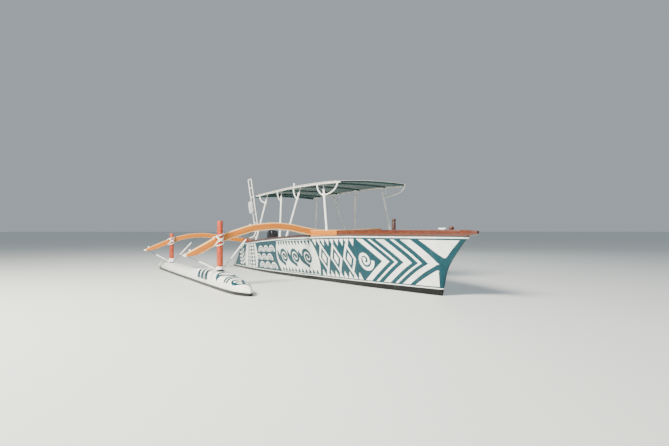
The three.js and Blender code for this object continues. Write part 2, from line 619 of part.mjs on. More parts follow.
function buildOutboard() {
  const boardBack = WELL.from + 36;
  add('motor_board', box([WELL.from + GAP, boardBack], [-210, 210], [250, 770]), VARNISHED_RAIL);

  const plateOutline = [
    [7902, 706], [7902, 776], [7970, 800], [8008, 824], [8068, 824], [8080, 790],
    [8080, 560], [8040, 400], [boardBack + GAP, 400], [boardBack + GAP, 771], [7924, 771], [7924, 706],
  ];
  const plates = [1, -1].map((sign) => {
    const edges = [sign * CLAMP_HALF, sign * (CLAMP_HALF + CLAMP_PLATE)].sort((a, b) => a - b);
    return profile(plateOutline, edges);
  });
  const bridge = box([7928, 7996], [-CLAMP_HALF - 1, CLAMP_HALF + 1], [772, 788]);
  const thrustBar = crossRod(8018, 424, CLAMP_HALF + 1, 10);
  const pinHole = crossRod(TILT.aft, TILT.height, 200, PIN_RADIUS + 1);
  add('motor_clamp', cut(join(...plates, bridge, thrustBar), pinHole), GREY_CASTING);

  const knuckle = crossRod(TILT.aft, TILT.height, CLAMP_HALF - 1, 28);
  const pin = crossRod(TILT.aft, TILT.height, CLAMP_HALF + CLAMP_PLATE + 10, PIN_RADIUS);
  const onSteer = (low, high, radius, sides) => (
    rod(place(STEER_AFT, 0, low), place(STEER_AFT, 0, high), radius, sides)
  );
  const housing = onSteer(HOUSING.low, HOUSING.high, HOUSING.radius, 20);
  const web = profile([
    [8040, 820], [8056, 820], [8074, 776], [STEER_AFT, 776], [STEER_AFT, 500], [8108, 500], [8040, 780],
  ], [-26, 26]);
  const bore = onSteer(300, 900, HOUSING.bore, 20);
  add('motor_swivel', cut(join(knuckle, pin, housing, web), bore), GREY_CASTING);

  const shaft = onSteer(440, 800, HOUSING.bore - 2, 16);
  const arms = [[HOUSING.high + GAP, 818], [432, HOUSING.low - GAP]].map(
    (level) => box([8095, 8240], [-36, 36], level),
  );
  const casing = ringedBody([
    { height: 836, aft: 8240, long: 116, wide: 92 }, { height: 806, aft: 8240, long: 70, wide: 72 },
    { height: 700, aft: 8240, long: 62, wide: 60 },
    { height: 400, aft: 8240, long: 62, wide: 52 }, { height: 0, aft: 8246, long: 74, wide: 36 },
    { height: -320, aft: 8252, long: 78, wide: 26 },
  ]);
  const plate = box([8156, 8400], [-95, 95], [-142, -130]);
  const gearcase = rod(place(8140, 0, PROPELLER.height), place(8340, 0, PROPELLER.height), 46, 18);
  const nose = rod(place(8080, 0, PROPELLER.height), place(8142, 0, PROPELLER.height), 14, 18, 46);
  const skeg = profile([[8180, -360], [8312, -360], [8324, -520], [8286, -526]], [-7, 7]);
  add('motor_leg', join(shaft, ...arms, casing, plate, gearcase, nose, skeg), GREY_CASTING);

  add('motor_cowling', ringedBody([
    { height: 836 + GAP, aft: 8246, long: 128, wide: 104 },
    { height: 872, aft: 8246, long: 176, wide: 136 },
    { height: 960, aft: 8244, long: 206, wide: 158 },
    { height: 1080, aft: 8240, long: 204, wide: 154 },
    { height: 1160, aft: 8230, long: 184, wide: 134 },
    { height: 1196, aft: 8222, long: 140, wide: 98 },
    { height: 1204, aft: 8220, long: 70, wide: 48 },
  ]), BLACK_PLASTIC);

  const hub = rod(place(8340 + GAP, 0, PROPELLER.height), place(8410, 0, PROPELLER.height), 30, 18);
  const blade = new THREE.Shape();
  blade.absellipse(78, 0, 52, 40, 0, 2 * Math.PI);
  const blades = Array.from({ length: PROPELLER.blades }, (_, i) => {
    const geometry = new THREE.ExtrudeGeometry(blade, { depth: 7, bevelEnabled: false, curveSegments: 8 });
    geometry.translate(0, 0, -3.5).rotateX(0.5).rotateZ(Math.PI / 2).rotateY(Math.PI / 2);
    geometry.rotateX((2 * Math.PI * i) / PROPELLER.blades);
    return solid(geometry.translate(...place(PROPELLER.aft, 0, PROPELLER.height)));
  });
  add('propeller', join(hub, ...blades), STEEL);
}

// Boarding ladder, folded up: it swings outboard and down about LADDER.pivot.
const LADDER = {
  aft: 7500, half: 130, tube: 14, rung: 12, pitch: 258, rungs: 7,
  pivot: { out: 955, height: 968 }, heel: { out: 785, height: 1138 }, head: { out: 1020, height: 2713 },
};

function ladderPoint(height) {
  const share = (height - LADDER.heel.height) / (LADDER.head.height - LADDER.heel.height);
  return LADDER.heel.out + share * (LADDER.head.out - LADDER.heel.out);
}

function buildLadder() {
  const { aft, half, tube, pivot, heel, head } = LADDER;
  const rails = [aft - half, aft + half].map((at) => {
    const bend = steps(0, Math.PI / 2, 6).map((turn) => place(
      at, heel.out + (pivot.out - heel.out) * (1 - Math.sin(turn)),
      pivot.height + (heel.height - pivot.height) * (1 - Math.cos(turn)),
    ));
    const upright = rod(place(at, heel.out, heel.height - 2), place(at, head.out, head.height), tube, 8);
    return join(bentTube(bend, tube, 8, 8), upright);
  });
  const rungs = steps(0, LADDER.rungs - 1, LADDER.rungs - 1).map((i) => {
    const height = head.height - 16 - i * LADDER.pitch;
    const out = ladderPoint(height);
    return rod(place(aft - half, out, height), place(aft + half, out, height), LADDER.rung, 8);
  });
  const pinEnd = half + 36;
  const pivotPoint = (at) => place(at, pivot.out, pivot.height);
  const onPivot = (reach, radius) => rod(pivotPoint(aft - reach), pivotPoint(aft + reach), radius, 14);
  const axle = onPivot(half + 18, tube);
  const pin = onPivot(pinEnd, 9);
  add('ladder', join(...rails, ...rungs, axle, pin), WHITE_TUBE);

  const hole = onPivot(300, 10);
  [{ name: 'fore', sign: -1 }, { name: 'after', sign: 1 }].forEach(({ name, sign }) => {
    const faces = [half + 20, half + 34].map((reach) => aft + sign * reach).sort((a, b) => a - b);
    const base = chord('sheer', faces[0]) + GUNWALE_HEIGHT + 2 * GAP;
    const lug = frame([
      [922, base - 5], [972, base - 5], [978, 975], [966, 990], [944, 990], [930, 975],
    ], faces);
    const flange = box([faces[0] - 12, faces[1] + 12], [922, 948], [base - 5, base + 6]);
    add(`ladder_bracket_${name}`, largest(cut(join(lug, flange), hole, gunwaleBody(1, GAP))), STEEL);
  });

  const lean = new THREE.Vector2(head.out - heel.out, head.height - heel.height).normalize();
  const middle = { out: ladderPoint(1870) + 96.5 * lean.y, height: 1870 - 96.5 * lean.x };
  const reach = (share) => place(aft - 84, middle.out + share * lean.x, middle.height + share * lean.y);
  const fender = join(
    rod(reach(-150), reach(150), 84, 20),
    rod(reach(149), reach(190), 84, 20, 44),
    rod(reach(-149), reach(-190), 84, 20, 44),
  );
  add('fender', fender, FENDER_VINYL);
}

function buildFittings() {
  const deck = FOREDECK_TOP + GAP;
  const cleatBase = box([-50, 50], [-34, 34], [deck, deck + 110]);
  const horn = rod(place(-105, 0, deck + 142), place(105, 0, deck + 142), 17, 14);
  const necks = [-32, 32].map((aft) => rod(place(aft, 0, deck + 100), place(aft, 0, deck + 142), 16, 14));
  add('bow_cleat', join(cleatBase, horn, ...necks), WHITE_PAINT);

  const bollard = [
    [0, 0], [38, 0], [36, 262], [31, 272], [31, 288], [39, 300], [39, 334], [30, 356], [0, 356],
  ];
  const chock = [[0, 0], [48, 0], [36, 66], [36, 118], [45, 134], [45, 160], [30, 180], [0, 180]];
  const turned = (outline, aft) => {
    const points = outline.map(([radius, height]) => new THREE.Vector2(radius, height));
    const body = new THREE.LatheGeometry(points, 20).rotateX(Math.PI / 2);
    return solid(body.translate(...place(aft, 0, deck)));
  };
  add('bow_bollard', turned(bollard, 1500), BOLLARD_WOOD);
  add('bow_chock', turned(chock, -250), BOLLARD_WOOD);

  const light = { aft: 4550, out: 880 };
  const seat = canopyTop(light.aft, light.out);
  const base = rod(place(light.aft, light.out, seat - 12), place(light.aft, light.out, seat + 18), 32, 18);
  const stem = rod(place(light.aft, light.out, seat + 13), place(light.aft, light.out, seat + 96), 19, 16);
  add('canopy_light', cut(join(base, stem), canopyCloth(2 * GAP, 60)), WHITE_PAINT);
}

buildHull();
buildFloat();
buildCanopy();
buildOutboard();
buildLadder();
buildFittings();

export default boat;
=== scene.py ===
# %% [markdown]
# # A motor outrigger canoe, dressed
# The CAD model gives every piece its place and size. This notebook loads it as a fixed frame and
# builds the surfaces that the eye sees over it: planking, paint, wood, rope, cloth and castings.
# Lengths are in metres: +X runs to the bow, +Y to port and +Z up, and the water is at height 0.

# %% Load the frame and note its size
import math
from functools import partial
import bpy
import mathutils
import numpy as np
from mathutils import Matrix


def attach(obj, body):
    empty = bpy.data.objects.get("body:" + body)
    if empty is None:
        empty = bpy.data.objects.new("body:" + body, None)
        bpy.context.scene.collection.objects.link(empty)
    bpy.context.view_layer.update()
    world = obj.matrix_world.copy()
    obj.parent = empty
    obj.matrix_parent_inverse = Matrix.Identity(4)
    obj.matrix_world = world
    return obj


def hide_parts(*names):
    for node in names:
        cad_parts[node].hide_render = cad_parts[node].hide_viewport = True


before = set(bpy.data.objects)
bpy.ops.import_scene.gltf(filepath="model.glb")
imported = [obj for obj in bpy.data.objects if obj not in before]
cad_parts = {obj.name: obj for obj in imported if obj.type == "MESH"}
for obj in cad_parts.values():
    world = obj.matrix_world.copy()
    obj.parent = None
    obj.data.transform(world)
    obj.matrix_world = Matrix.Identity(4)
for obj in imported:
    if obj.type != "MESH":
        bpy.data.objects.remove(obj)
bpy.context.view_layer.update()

# %% [markdown]
# ## Places on the boat
# A boatbuilder gives a place by three numbers: how far aft of the stem, how far out from the
# centreline, and how high above the water. Shapes are lists of stations, and a smooth curve is
# drawn through them. The same curve rule is used in the CAD, so the two agree to the millimetre.

# %% Places and station tables
BOW_X = 4.75
TURN = 2 * math.pi


def place(aft, out, height):
    """Places from aft, out (to starboard) and height, as an array whose last axis is xyz."""
    aft, out, height = np.broadcast_arrays(aft, out, height)
    return np.stack([BOW_X - aft, -out, height], -1).astype(float)


def along(table, column, at):
    """A column of a station table at any place. Between rows it is a cubic whose slope at a row is
    the harmonic mean of the slopes on either side, or level at a peak, so it never overshoots."""
    x, y = table[:, 0], table[:, column]
    rise = np.diff(y) / np.diff(x)
    product, total = rise[:-1] * rise[1:], rise[:-1] + rise[1:]
    inner = np.where(product > 0, 2 * product / np.where(product > 0, total, 1), 0)
    slope = np.concatenate([rise[:1], inner, rise[-1:]])
    at = np.clip(at, x[0], x[-1])
    i = np.clip(np.searchsorted(x, at, side="right") - 1, 0, len(x) - 2)
    span = x[i + 1] - x[i]
    u = (at - x[i]) / span
    level = y[i] * (1 + 2 * u) * (1 - u) ** 2 + y[i + 1] * u * u * (3 - 2 * u)
    return level + span * u * (1 - u) * (slope[i] * (1 - u) - slope[i + 1] * u)


# Columns: place aft, keel, chine half-breadth, chine height, sheer half-breadth, sheer height
KEEL, CHINE_HALF, CHINE, SHEER_HALF, SHEER = 1, 2, 3, 4, 5
HULL = np.array([
    [-680, 1052, 15, 1056, 20, 1068], [-600, 1000, 16, 1006, 62, 1070],
    [-420, 820, 17, 828, 130, 1070], [-220, 590, 18, 602, 190, 1070],
    [-120, 420, 20, 436, 218, 1070], [-40, 140, 22, 168, 240, 1070],
    [0, 0, 26, 60, 252, 1070], [120, -120, 42, 20, 288, 1070],
    [400, -230, 92, -20, 366, 1070], [1000, -290, 188, -50, 505, 1070],
    [2000, -320, 372, -70, 705, 1070], [3500, -330, 530, -80, 925, 1036],
    [5000, -320, 725, -80, 1000, 985], [6600, -290, 850, -75, 975, 900],
    [8000, -250, 862, -70, 930, 808], [8900, -215, 815, -65, 855, 757],
    [9800, -180, 755, -60, 790, 722], [10400, -130, 700, -50, 735, 702],
]) / 1000
# Columns: place aft, top, bottom, half-breadth, squareness (a plain number)
TOP, BOTTOM, HALF, SQUARE = 1, 2, 3, 4
FLOAT = np.array([
    [1500, 95, 35, 20, 2100], [1530, 122, 10, 48, 2100], [1610, 155, -30, 84, 2200],
    [1740, 186, -75, 126, 2400], [1930, 218, -125, 172, 2800], [2400, 256, -180, 206, 3200],
    [3100, 312, -215, 218, 4000], [3700, 340, -220, 220, 4000], [4400, 332, -222, 220, 4000],
    [5100, 285, -225, 220, 4000], [5900, 222, -225, 220, 4000], [7700, 232, -200, 212, 3600],
    [9000, 240, -150, 190, 3000], [9650, 222, -90, 150, 2500], [10000, 188, -30, 100, 2200],
    [10090, 140, 20, 40, 2100],
]) / 1000
FLOAT_OUT = 3.07


def section(aft):
    """Keel height, chine half-breadth and height, sheer half-breadth and height at a place."""
    return [along(HULL, column, aft) for column in (KEEL, CHINE_HALF, CHINE, SHEER_HALF, SHEER)]


def side_out(aft, height):
    """How far out the hull's side lies at a height: a straight line from the chine to the sheer."""
    _, half, chine, sheer_half, sheer = section(aft)
    return half + (height - chine) / (sheer - chine) * (sheer_half - half)


print("hull stations:", len(HULL), "float stations:", len(FLOAT))

# %% [markdown]
# ## Surfaces from grids
# Nearly every piece here is a sheet of points in rows and columns, bent into its shape by a
# formula. Working the formula out for the whole grid at once with numpy is quick, and the mesh is
# then filled in one go. A tube is such a grid whose last column joins its first.


# %% Skins: grids of points with their faces
def skin(grid, around=True, closed=True, loop=False, uv=None, slot=0):
    """Faces over a grid of points (rows, columns, xyz). around joins the last column to the first,
    and loop the last row to the first. closed puts a flat face on each end, and turns the whole
    right way out by the sign of its volume, which is a sum of triple products about its middle."""
    rows, cols = grid.shape[:2]
    r, c = np.indices((rows if loop else rows - 1, cols if around else cols - 1))
    after, beside = (r + 1) % rows, (c + 1) % cols
    quads = [r * cols + c, r * cols + beside, after * cols + beside, after * cols + c]
    loops = np.stack(quads, -1).reshape(-1)
    sizes = np.full(loops.size // 4, 4)
    if uv is None:
        uv = np.zeros((rows + 1, cols + 1, 2))
    corners = np.stack([uv[r, c], uv[r, c + 1], uv[r + 1, c + 1], uv[r + 1, c]], 2).reshape(-1, 2)
    points = grid.reshape(-1, 3)
    if closed:
        if not loop:
            ends = [np.arange(cols)[::-1], (rows - 1) * cols + np.arange(cols)]
            loops = np.concatenate([loops, *ends])
            sizes = np.append(sizes, [cols, cols])
            corners = np.concatenate([corners, uv[0, :cols][::-1], uv[rows - 1, :cols]])
        middle = points - points.mean(0)
        first = np.repeat(np.cumsum(sizes) - sizes, sizes - 2)
        step = np.arange(first.size) - np.repeat(np.cumsum(sizes - 2) - (sizes - 2), sizes - 2)
        a, b, d = (middle[loops[first + k]] for k in (0 * step, step + 1, step + 2))
        if np.einsum("ij,ij->", a, np.cross(b, d)) < 0:
            loops, sizes, corners = loops[::-1], sizes[::-1], corners[::-1]
    return {"points": points, "loops": loops, "sizes": sizes, "uv": corners, "slot": slot}


def mesh_of(name, skins):
    """One mesh from several skins, filled as whole arrays."""
    mesh = bpy.data.meshes.new(name)
    starts = np.cumsum([0] + [len(s["points"]) for s in skins])
    points = np.concatenate([s["points"] for s in skins])
    loops = np.concatenate([s["loops"] + start for s, start in zip(skins, starts)])
    sizes = np.concatenate([s["sizes"] for s in skins])
    mesh.vertices.add(len(points))
    mesh.vertices.foreach_set("co", points.astype(np.float32).ravel())
    mesh.loops.add(len(loops))
    mesh.loops.foreach_set("vertex_index", loops.astype(np.int32))
    mesh.polygons.add(len(sizes))
    mesh.polygons.foreach_set("loop_start", (np.cumsum(sizes) - sizes).astype(np.int32))
    slots = np.concatenate([np.full(len(s["sizes"]), s["slot"]) for s in skins])
    mesh.polygons.foreach_set("material_index", slots.astype(np.int32))
    uv = np.concatenate([s["uv"] for s in skins]).astype(np.float32)
    mesh.uv_layers.new(name="Run").data.foreach_set("uv", uv.ravel())
    mesh.update(calc_edges=True)
    mesh.validate()
    return mesh


def piece(name, skins, materials, body="root", replaces=(), crease=35):
    """A finished piece: its mesh, its materials, the CAD body it rides on and the nodes it stands
    for. Edges that turn by more than the crease, in degrees, stay sharp."""
    mesh = mesh_of(name, skins) if isinstance(skins, list) else skins
    for material in materials:
        mesh.materials.append(material)
    mesh.shade_smooth()
    mesh.set_sharp_from_angle(angle=math.radians(crease))
    made = bpy.data.objects.new(name, mesh)
    bpy.context.scene.collection.objects.link(made)
    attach(made, body)
    if replaces:
        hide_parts(*replaces)
    return made


print("grid tools ready")


# %% [markdown]
# A profile carried along a path makes tubes, rails, beams and ropes. A circle turned about an
# upright line makes posts and knobs. Both are grids again, so both end in the same skin.


# %% Profiles and sweeps
def ring(radius, count):
    """A circle as (across, up) points."""
    turn = np.arange(count) * TURN / count
    return radius * np.stack([np.cos(turn), np.sin(turn)], -1)


def rounded(width, height, radius, steps=5):
    """A rectangle with round corners: a quarter circle about each inner corner in turn."""
    turn = np.arange(4)[:, None] * TURN / 4 + np.linspace(0, TURN / 4, steps)
    side = np.sign(np.cos(np.arange(4) * TURN / 4 + TURN / 8))
    lift = np.sign(np.sin(np.arange(4) * TURN / 4 + TURN / 8))
    across = side[:, None] * (width / 2 - radius) + radius * np.cos(turn)
    up = lift[:, None] * (height / 2 - radius) + radius * np.sin(turn)
    return np.stack([across, up], -1).reshape(-1, 2)


def unit(vectors):
    """The same directions with length one."""
    return vectors / np.linalg.norm(vectors, axis=-1, keepdims=True)


def run_length(path):
    """Distance along a path at each of its points."""
    return np.append(0, np.cumsum(np.linalg.norm(np.diff(path, axis=0), axis=-1)))


def sweep(path, profile, up=(0, 0, 1), scale=1.0, loop=False, girth=None, slot=0):
    """Carries a profile along a path. Its first axis is square to the path and to up, and its
    second is square to both. scale, one number or one for each path point, sizes the profile.
    The UV is the run along the path and the way round the profile, or girth if that is given."""
    ahead = np.roll(path, -1, 0) - np.roll(path, 1, 0) if loop else np.gradient(path, axis=0)
    ahead = unit(ahead)
    across = unit(np.cross(ahead, np.broadcast_to(np.asarray(up, float), path.shape)))
    lift = np.cross(across, ahead)
    size = np.broadcast_to(np.asarray(scale, float), (len(path),))[:, None, None]
    shape = profile[None] if profile.ndim == 2 else profile
    off = across[:, None] * shape[..., :1] + lift[:, None] * shape[..., 1:]
    grid = path[:, None] + size * off
    if girth is None:
        girth = np.linspace(0, 1, shape.shape[1] + 1)[None]
    line = run_length(np.concatenate([path, path[:1]]) if loop else path)
    uv = np.stack(np.broadcast_arrays(line[:, None], girth), -1)
    return skin(grid, loop=loop, uv=uv, slot=slot)


def turned(outline, aft, out, base, count, axis=(0, 0, 1), slot=0):
    """A profile of (radius, height) points turned about a line through the place (aft, out, base),
    which is upright unless another axis is given."""
    outline = np.asarray(outline, float)
    lean = unit(np.asarray(axis, float))
    side = unit(np.cross(lean, (1, 0, 0) if abs(lean[0]) < 0.9 else (0, 1, 0)))
    other = np.cross(lean, side)
    turn = (np.arange(count) * TURN / count)[None, :, None]
    radial = np.cos(turn) * side + np.sin(turn) * other
    grid = place(aft, out, base) + outline[:, None, :1] * radial + outline[:, None, 1:] * lean
    length = run_length(outline)
    uv = np.stack(np.broadcast_arrays(length[:, None], np.linspace(0, 1, count + 1)[None]), -1)
    return skin(grid, uv=uv, slot=slot)


def closed_curve(points, count):
    """A smooth closed line through a few points: each coordinate is a cubic between neighbours
    whose slope at a point is that of the line joining the points on either side of it."""
    slope = (np.roll(points, -1, 0) - np.roll(points, 1, 0)) / 2
    at = np.linspace(0, len(points), count, endpoint=False)
    i = at.astype(int)
    after = (i + 1) % len(points)
    u = (at - i)[:, None]
    start = points[i] * (1 + 2 * u) * (1 - u) ** 2 + slope[i] * u * (1 - u) ** 2
    return start + points[after] * u * u * (3 - 2 * u) - slope[after] * u * u * (1 - u)


print("corner points in a rounded bar:", len(rounded(1, 1, 0.1)))

# %% [markdown]
# ## Materials
# Each finish is named for what it really is. Its colours are given as painters' hex values, which
# one function turns to the linear light that Blender computes with, and one function adds a node,
# sets its inputs and links it. Patterns read the piece's own position or its run of UV, in metres.


# %% Colour and node tools
def linear(code):
    """A hex colour as linear red, green, blue and alpha: the sRGB curve undone by channel."""
    value = np.array([int(code[i:i + 2], 16) for i in (0, 2, 4)]) / 255
    light = np.where(value <= 0.04045, value / 12.92, ((value + 0.055) / 1.055) ** 2.4)
    return (*light.tolist(), 1.0)


def link(tree, source, socket):
    """Links a socket from an output, or from a node, which stands for its first output."""
    tree.links.new(source.outputs[0] if isinstance(source, bpy.types.Node) else source, socket)


def add(tree, kind, inputs=None, stops=None, **settings):
    """One node of a kind, with its settings, its inputs set or linked, and a ramp's stops."""
    made = tree.nodes.new("ShaderNode" + kind)
    for name, value in settings.items():
        setattr(made, name, value)
    for name, value in (inputs or {}).items():
        if isinstance(value, (bpy.types.NodeSocket, bpy.types.Node)):
            link(tree, value, made.inputs[name])
        else:
            made.inputs[name].default_value = value
    if stops:
        elements = made.color_ramp.elements
        for _ in stops[2:]:
            elements.new(0.5)
        for element, (position, colour) in zip(elements, stops):
            element.position = position
            element.color = linear(colour)
    return made


def finish(name, **fixed):
    """An empty material with one Principled shader whose plain sockets are set."""
    material = bpy.data.materials.new(name)
    material.use_nodes = True
    tree = material.node_tree
    shader = tree.nodes["Principled BSDF"]
    for socket, value in fixed.items():
        shader.inputs[socket.replace("_", " ")].default_value = value
    return material, tree, shader


def show(tree, shader, colour, rough, bump, strength, reach):
    """Links a colour, a roughness if there is one, and a bump whose reach is in metres."""
    link(tree, colour, shader.inputs["Base Color"])
    if rough is not None:
        link(tree, rough, shader.inputs["Roughness"])
    relief = add(tree, "Bump", {"Height": bump, "Strength": strength, "Distance": reach})
    link(tree, relief, shader.inputs["Normal"])


def mottled(name, cloud, tones, gloss, strength, reach, relief=None, **fixed):
    """A finish on the piece's own position: a noise, the cloud, picks its tone between the stops
    and its roughness between the two values of gloss. relief is a finer texture for the bump, as a
    kind and its inputs, and without one the cloud makes the bump too."""
    material, tree, shader = finish(name, **fixed)
    spot = {"Vector": add(tree, "TexCoord").outputs["Object"]}
    level = add(tree, "TexNoise", spot | cloud)
    tone = add(tree, "ValToRGB", {"Fac": level}, stops=tones)
    rough = None
    if gloss:
        rough = add(tree, "MapRange", {"Value": level, "To Min": gloss[0], "To Max": gloss[1]})
    bump = add(tree, relief[0], spot | relief[1]) if relief else level
    show(tree, shader, tone, rough, bump, strength, reach)
    return material


print("linear mid grey:", round(linear("808080")[0], 4))

# %% [markdown]
# **Marine enamel.** The hull is planking under brushed gloss enamel in three paints:
# bitumen-black antifouling below, a white boot-top line 20 mm wide, and teal above. One material
# reads the height and picks the paint, because a painter masks these lines by height. The boot-top
# rises a little toward the bow, so its height is a slope along X.

# %% Hull enamel
# The boot-top's lower edge amidships, its rise for each metre forward, and its width.
BOOT_FOOT, BOOT_SLOPE, BOOT_WIDTH = 0.0835, 0.0070, 0.020
PAINT_REACH = 0.1
BRUSHED = {"Coat_Weight": 0.08, "Coat_Roughness": 0.2, "Specular_IOR_Level": 0.22}
hull_enamel, tree, shader = finish("teal_marine_enamel", **BRUSHED)
spot = add(tree, "TexCoord").outputs["Object"]
axes = add(tree, "SeparateXYZ", {"Vector": spot}).outputs
line = add(tree, "Math", {0: axes["X"], 1: BOOT_SLOPE, 2: BOOT_FOOT}, operation="MULTIPLY_ADD")
above = add(tree, "Math", {0: axes["Z"], 1: line}, operation="SUBTRACT")
share = add(tree, "MapRange", {"Value": above, "From Min": -PAINT_REACH, "From Max": PAINT_REACH})
teal_from = 0.5 + BOOT_WIDTH / (2 * PAINT_REACH)
paints = add(tree, "ValToRGB", {"Fac": share},
             stops=[(0, "08090C"), (0.5, "EEF3F1"), (teal_from, "053C47")])
paints.color_ramp.interpolation = "CONSTANT"
# Brushed enamel weathers in soft patches of half a metre, with faint runs of salt down the side.
patches = add(tree, "TexNoise", {"Vector": spot, "Scale": 2.2, "Detail": 5.0, "Roughness": 0.6})
runs = add(tree, "Mapping", {"Vector": spot, "Scale": (9.0, 9.0, 1.1)})
salt = add(tree, "TexNoise", {"Vector": runs, "Scale": 2.0, "Detail": 4.0})
tone = add(tree, "MapRange", {"Value": patches, "From Min": 0.3, "From Max": 0.7,
                              "To Min": 0.86, "To Max": 1.1})
shaded = add(tree, "VectorMath", {0: paints, "Scale": tone}, operation="SCALE")
streak = add(tree, "MapRange", {"Value": salt, "From Min": 0.55, "From Max": 0.8,
                                "To Min": 0.0, "To Max": 0.05})
colour = add(tree, "Mix", {0: streak, 6: shaded, 7: linear("B9C7C4")}, data_type="RGBA")
gloss = add(tree, "MapRange", {"Value": patches, "To Min": 0.24, "To Max": 0.46})
# Brush marks run along the planks, about 3 mm wide, drawn at 8 mm so that they show.
marks = add(tree, "Mapping", {"Vector": spot, "Scale": (3.0, 40.0, 120.0)})
brush = add(tree, "TexNoise", {"Vector": marks, "Scale": 1.0, "Detail": 2.0})
show(tree, shader, colour.outputs[2], gloss, brush, 0.25, 0.0008)
print("boot-top height at the bow:", round(BOOT_FOOT + BOOT_SLOPE * BOW_X, 3))

# %% [markdown]
# **White and teal enamel.** White is used for the painted design, the float and the fittings. It
# shows its age as grey and cream patches a third of a metre across and as fine scuffs, so it's
# never one flat white. Teal figures are brushed on like the hull's own paint. The float also has
# black antifouling from 62 mm above the water down and a damp green-grey band over it, so its
# material reads the height too.

# %% White enamel, teal enamel and the float's paint
white_enamel = mottled(
    "white_marine_enamel", {"Scale": 3.0, "Detail": 6.0, "Roughness": 0.62},
    [(0.32, "DCE3DF"), (0.5, "F0F4F2"), (0.72, "F7FAF8")], (0.5, 0.28), 0.12, 0.0006,
    ("TexNoise", {"Scale": 60.0, "Detail": 3.0}), Coat_Weight=0.3, Coat_Roughness=0.15)
teal_enamel = mottled(
    "teal_line_enamel", {"Scale": 2.6, "Detail": 5.0, "Roughness": 0.6},
    [(0.3, "04333D"), (0.55, "053E49"), (0.8, "0B4A55")], (0.28, 0.45), 0.1, 0.0006, **BRUSHED)

FLOAT_LINE, DAMP_TOP = 0.062, 0.16
float_enamel, tree, shader = finish("float_enamel", Coat_Weight=0.1, Coat_Roughness=0.2,
                                    Specular_IOR_Level=0.3)
spot = add(tree, "TexCoord").outputs["Object"]
height = add(tree, "SeparateXYZ", {"Vector": spot}).outputs["Z"]
under = add(tree, "Math", {0: height, 1: FLOAT_LINE}, operation="LESS_THAN")
cloud = add(tree, "TexNoise", {"Vector": spot, "Scale": 3.2, "Detail": 6.0, "Roughness": 0.62})
cream = add(tree, "ValToRGB", {"Fac": cloud},
            stops=[(0.3, "D6DDD8"), (0.5, "EEF2F0"), (0.75, "F8FAF9")])
damp = add(tree, "MapRange", {"Value": height, "From Min": FLOAT_LINE, "From Max": DAMP_TOP,
                              "To Min": 0.28, "To Max": 0.0})
tide = add(tree, "Mix", {0: damp, 6: cream, 7: linear("A9B2A0")}, data_type="RGBA")
paint = add(tree, "Mix", {0: under, 6: tide.outputs[2], 7: linear("0A0B0D")}, data_type="RGBA")
scuff = add(tree, "TexNoise", {"Vector": spot, "Scale": 55.0, "Detail": 3.0})
gloss = add(tree, "MapRange", {"Value": cloud, "To Min": 0.5, "To Max": 0.3})
show(tree, shader, paint.outputs[2], gloss, scuff, 0.15, 0.0006)
print("paints:", hull_enamel.name, white_enamel.name, float_enamel.name, teal_enamel.name)

# %% [markdown]
# **Wood.** Grain is noise stretched along the timber: fibres run for half a metre and are a few
# millimetres apart. The rails are varnished mahogany, the beams are strips of a honey-coloured
# softwood glued face to face, and the posts are red-stained hardwood. The beam's strips are 22 mm
# thick, so the material cuts the depth of the beam into 22 mm steps and gives each its own tone.
# Clear varnish over all of them gives the sheen, and the bump is the grain that shows through.

# %% Varnished mahogany, laminated beams and stained posts
# The darker copy of the mahogany is partly the gunwale's own deeper tone and partly painted shade
# along the line under the rail and bar.
VARNISHED = {
    "varnished_mahogany": ["2A1003", "4E1F08", "64300E", "7E4418"],
    "dark_varnished_gunwale": ["1C0A05", "32140B", "441F12", "583020"],
}
varnished = {}
for name, tones in VARNISHED.items():
    varnished[name], tree, shader = finish(name, Coat_Weight=0.6, Coat_Roughness=0.14)
    spot = add(tree, "TexCoord").outputs["Object"]
    fibres = add(tree, "Mapping", {"Vector": spot, "Scale": (1.3, 26.0, 42.0)})
    grain = add(tree, "TexNoise", {"Vector": fibres, "Scale": 1.6, "Detail": 8.0,
                                   "Roughness": 0.58, "Distortion": 0.5})
    wood = add(tree, "ValToRGB", {"Fac": grain}, stops=list(zip((0.28, 0.45, 0.58, 0.75), tones)))
    stretch = add(tree, "TexNoise", {"Vector": spot, "Scale": 1.4, "Detail": 3.0})
    # The wood turns redder toward the bow.
    forward = add(tree, "SeparateXYZ", {"Vector": spot}).outputs["X"]
    toward = add(tree, "MapRange", {"Value": forward, "From Min": 2.2, "From Max": 5.4,
                                    "To Min": 0.0, "To Max": 0.30})
    warm = add(tree, "Mix", {0: toward, 6: wood, 7: linear("521A10")}, data_type="RGBA")
    gloss = add(tree, "MapRange", {"Value": stretch, "To Min": 0.22, "To Max": 0.5})
    show(tree, shader, warm.outputs[2], gloss, grain, 0.18, 0.0006)
mahogany, dark_mahogany_painted_shade = varnished["varnished_mahogany"], varnished["dark_varnished_gunwale"]

STRIP = 0.022
honey_wood, tree, shader = finish("laminated_honey_softwood", Coat_Weight=0.35, Coat_Roughness=0.2)
run = add(tree, "UVMap", uv_map="Run")
axes = add(tree, "SeparateXYZ", {"Vector": run}).outputs
strips = add(tree, "Math", {0: axes["Y"], 1: STRIP}, operation="DIVIDE")
number = add(tree, "Math", {0: strips}, operation="FLOOR")
within = add(tree, "Math", {0: strips}, operation="FRACT")
own = add(tree, "TexWhiteNoise", {"W": number}, noise_dimensions="1D")
fibres = add(tree, "CombineXYZ", {"X": axes["X"], "Y": axes["Y"], "Z": number})
drawn = add(tree, "Mapping", {"Vector": fibres, "Scale": (1.7, 70.0, 3.3)})
grain = add(tree, "TexNoise", {"Vector": drawn, "Scale": 1.4, "Detail": 8.0,
                               "Roughness": 0.6, "Distortion": 0.4})
wood = add(tree, "ValToRGB", {"Fac": grain},
           stops=[(0.27, "9A4E06"), (0.45, "C06C0A"), (0.6, "D07C12"), (0.78, "E0962C")])
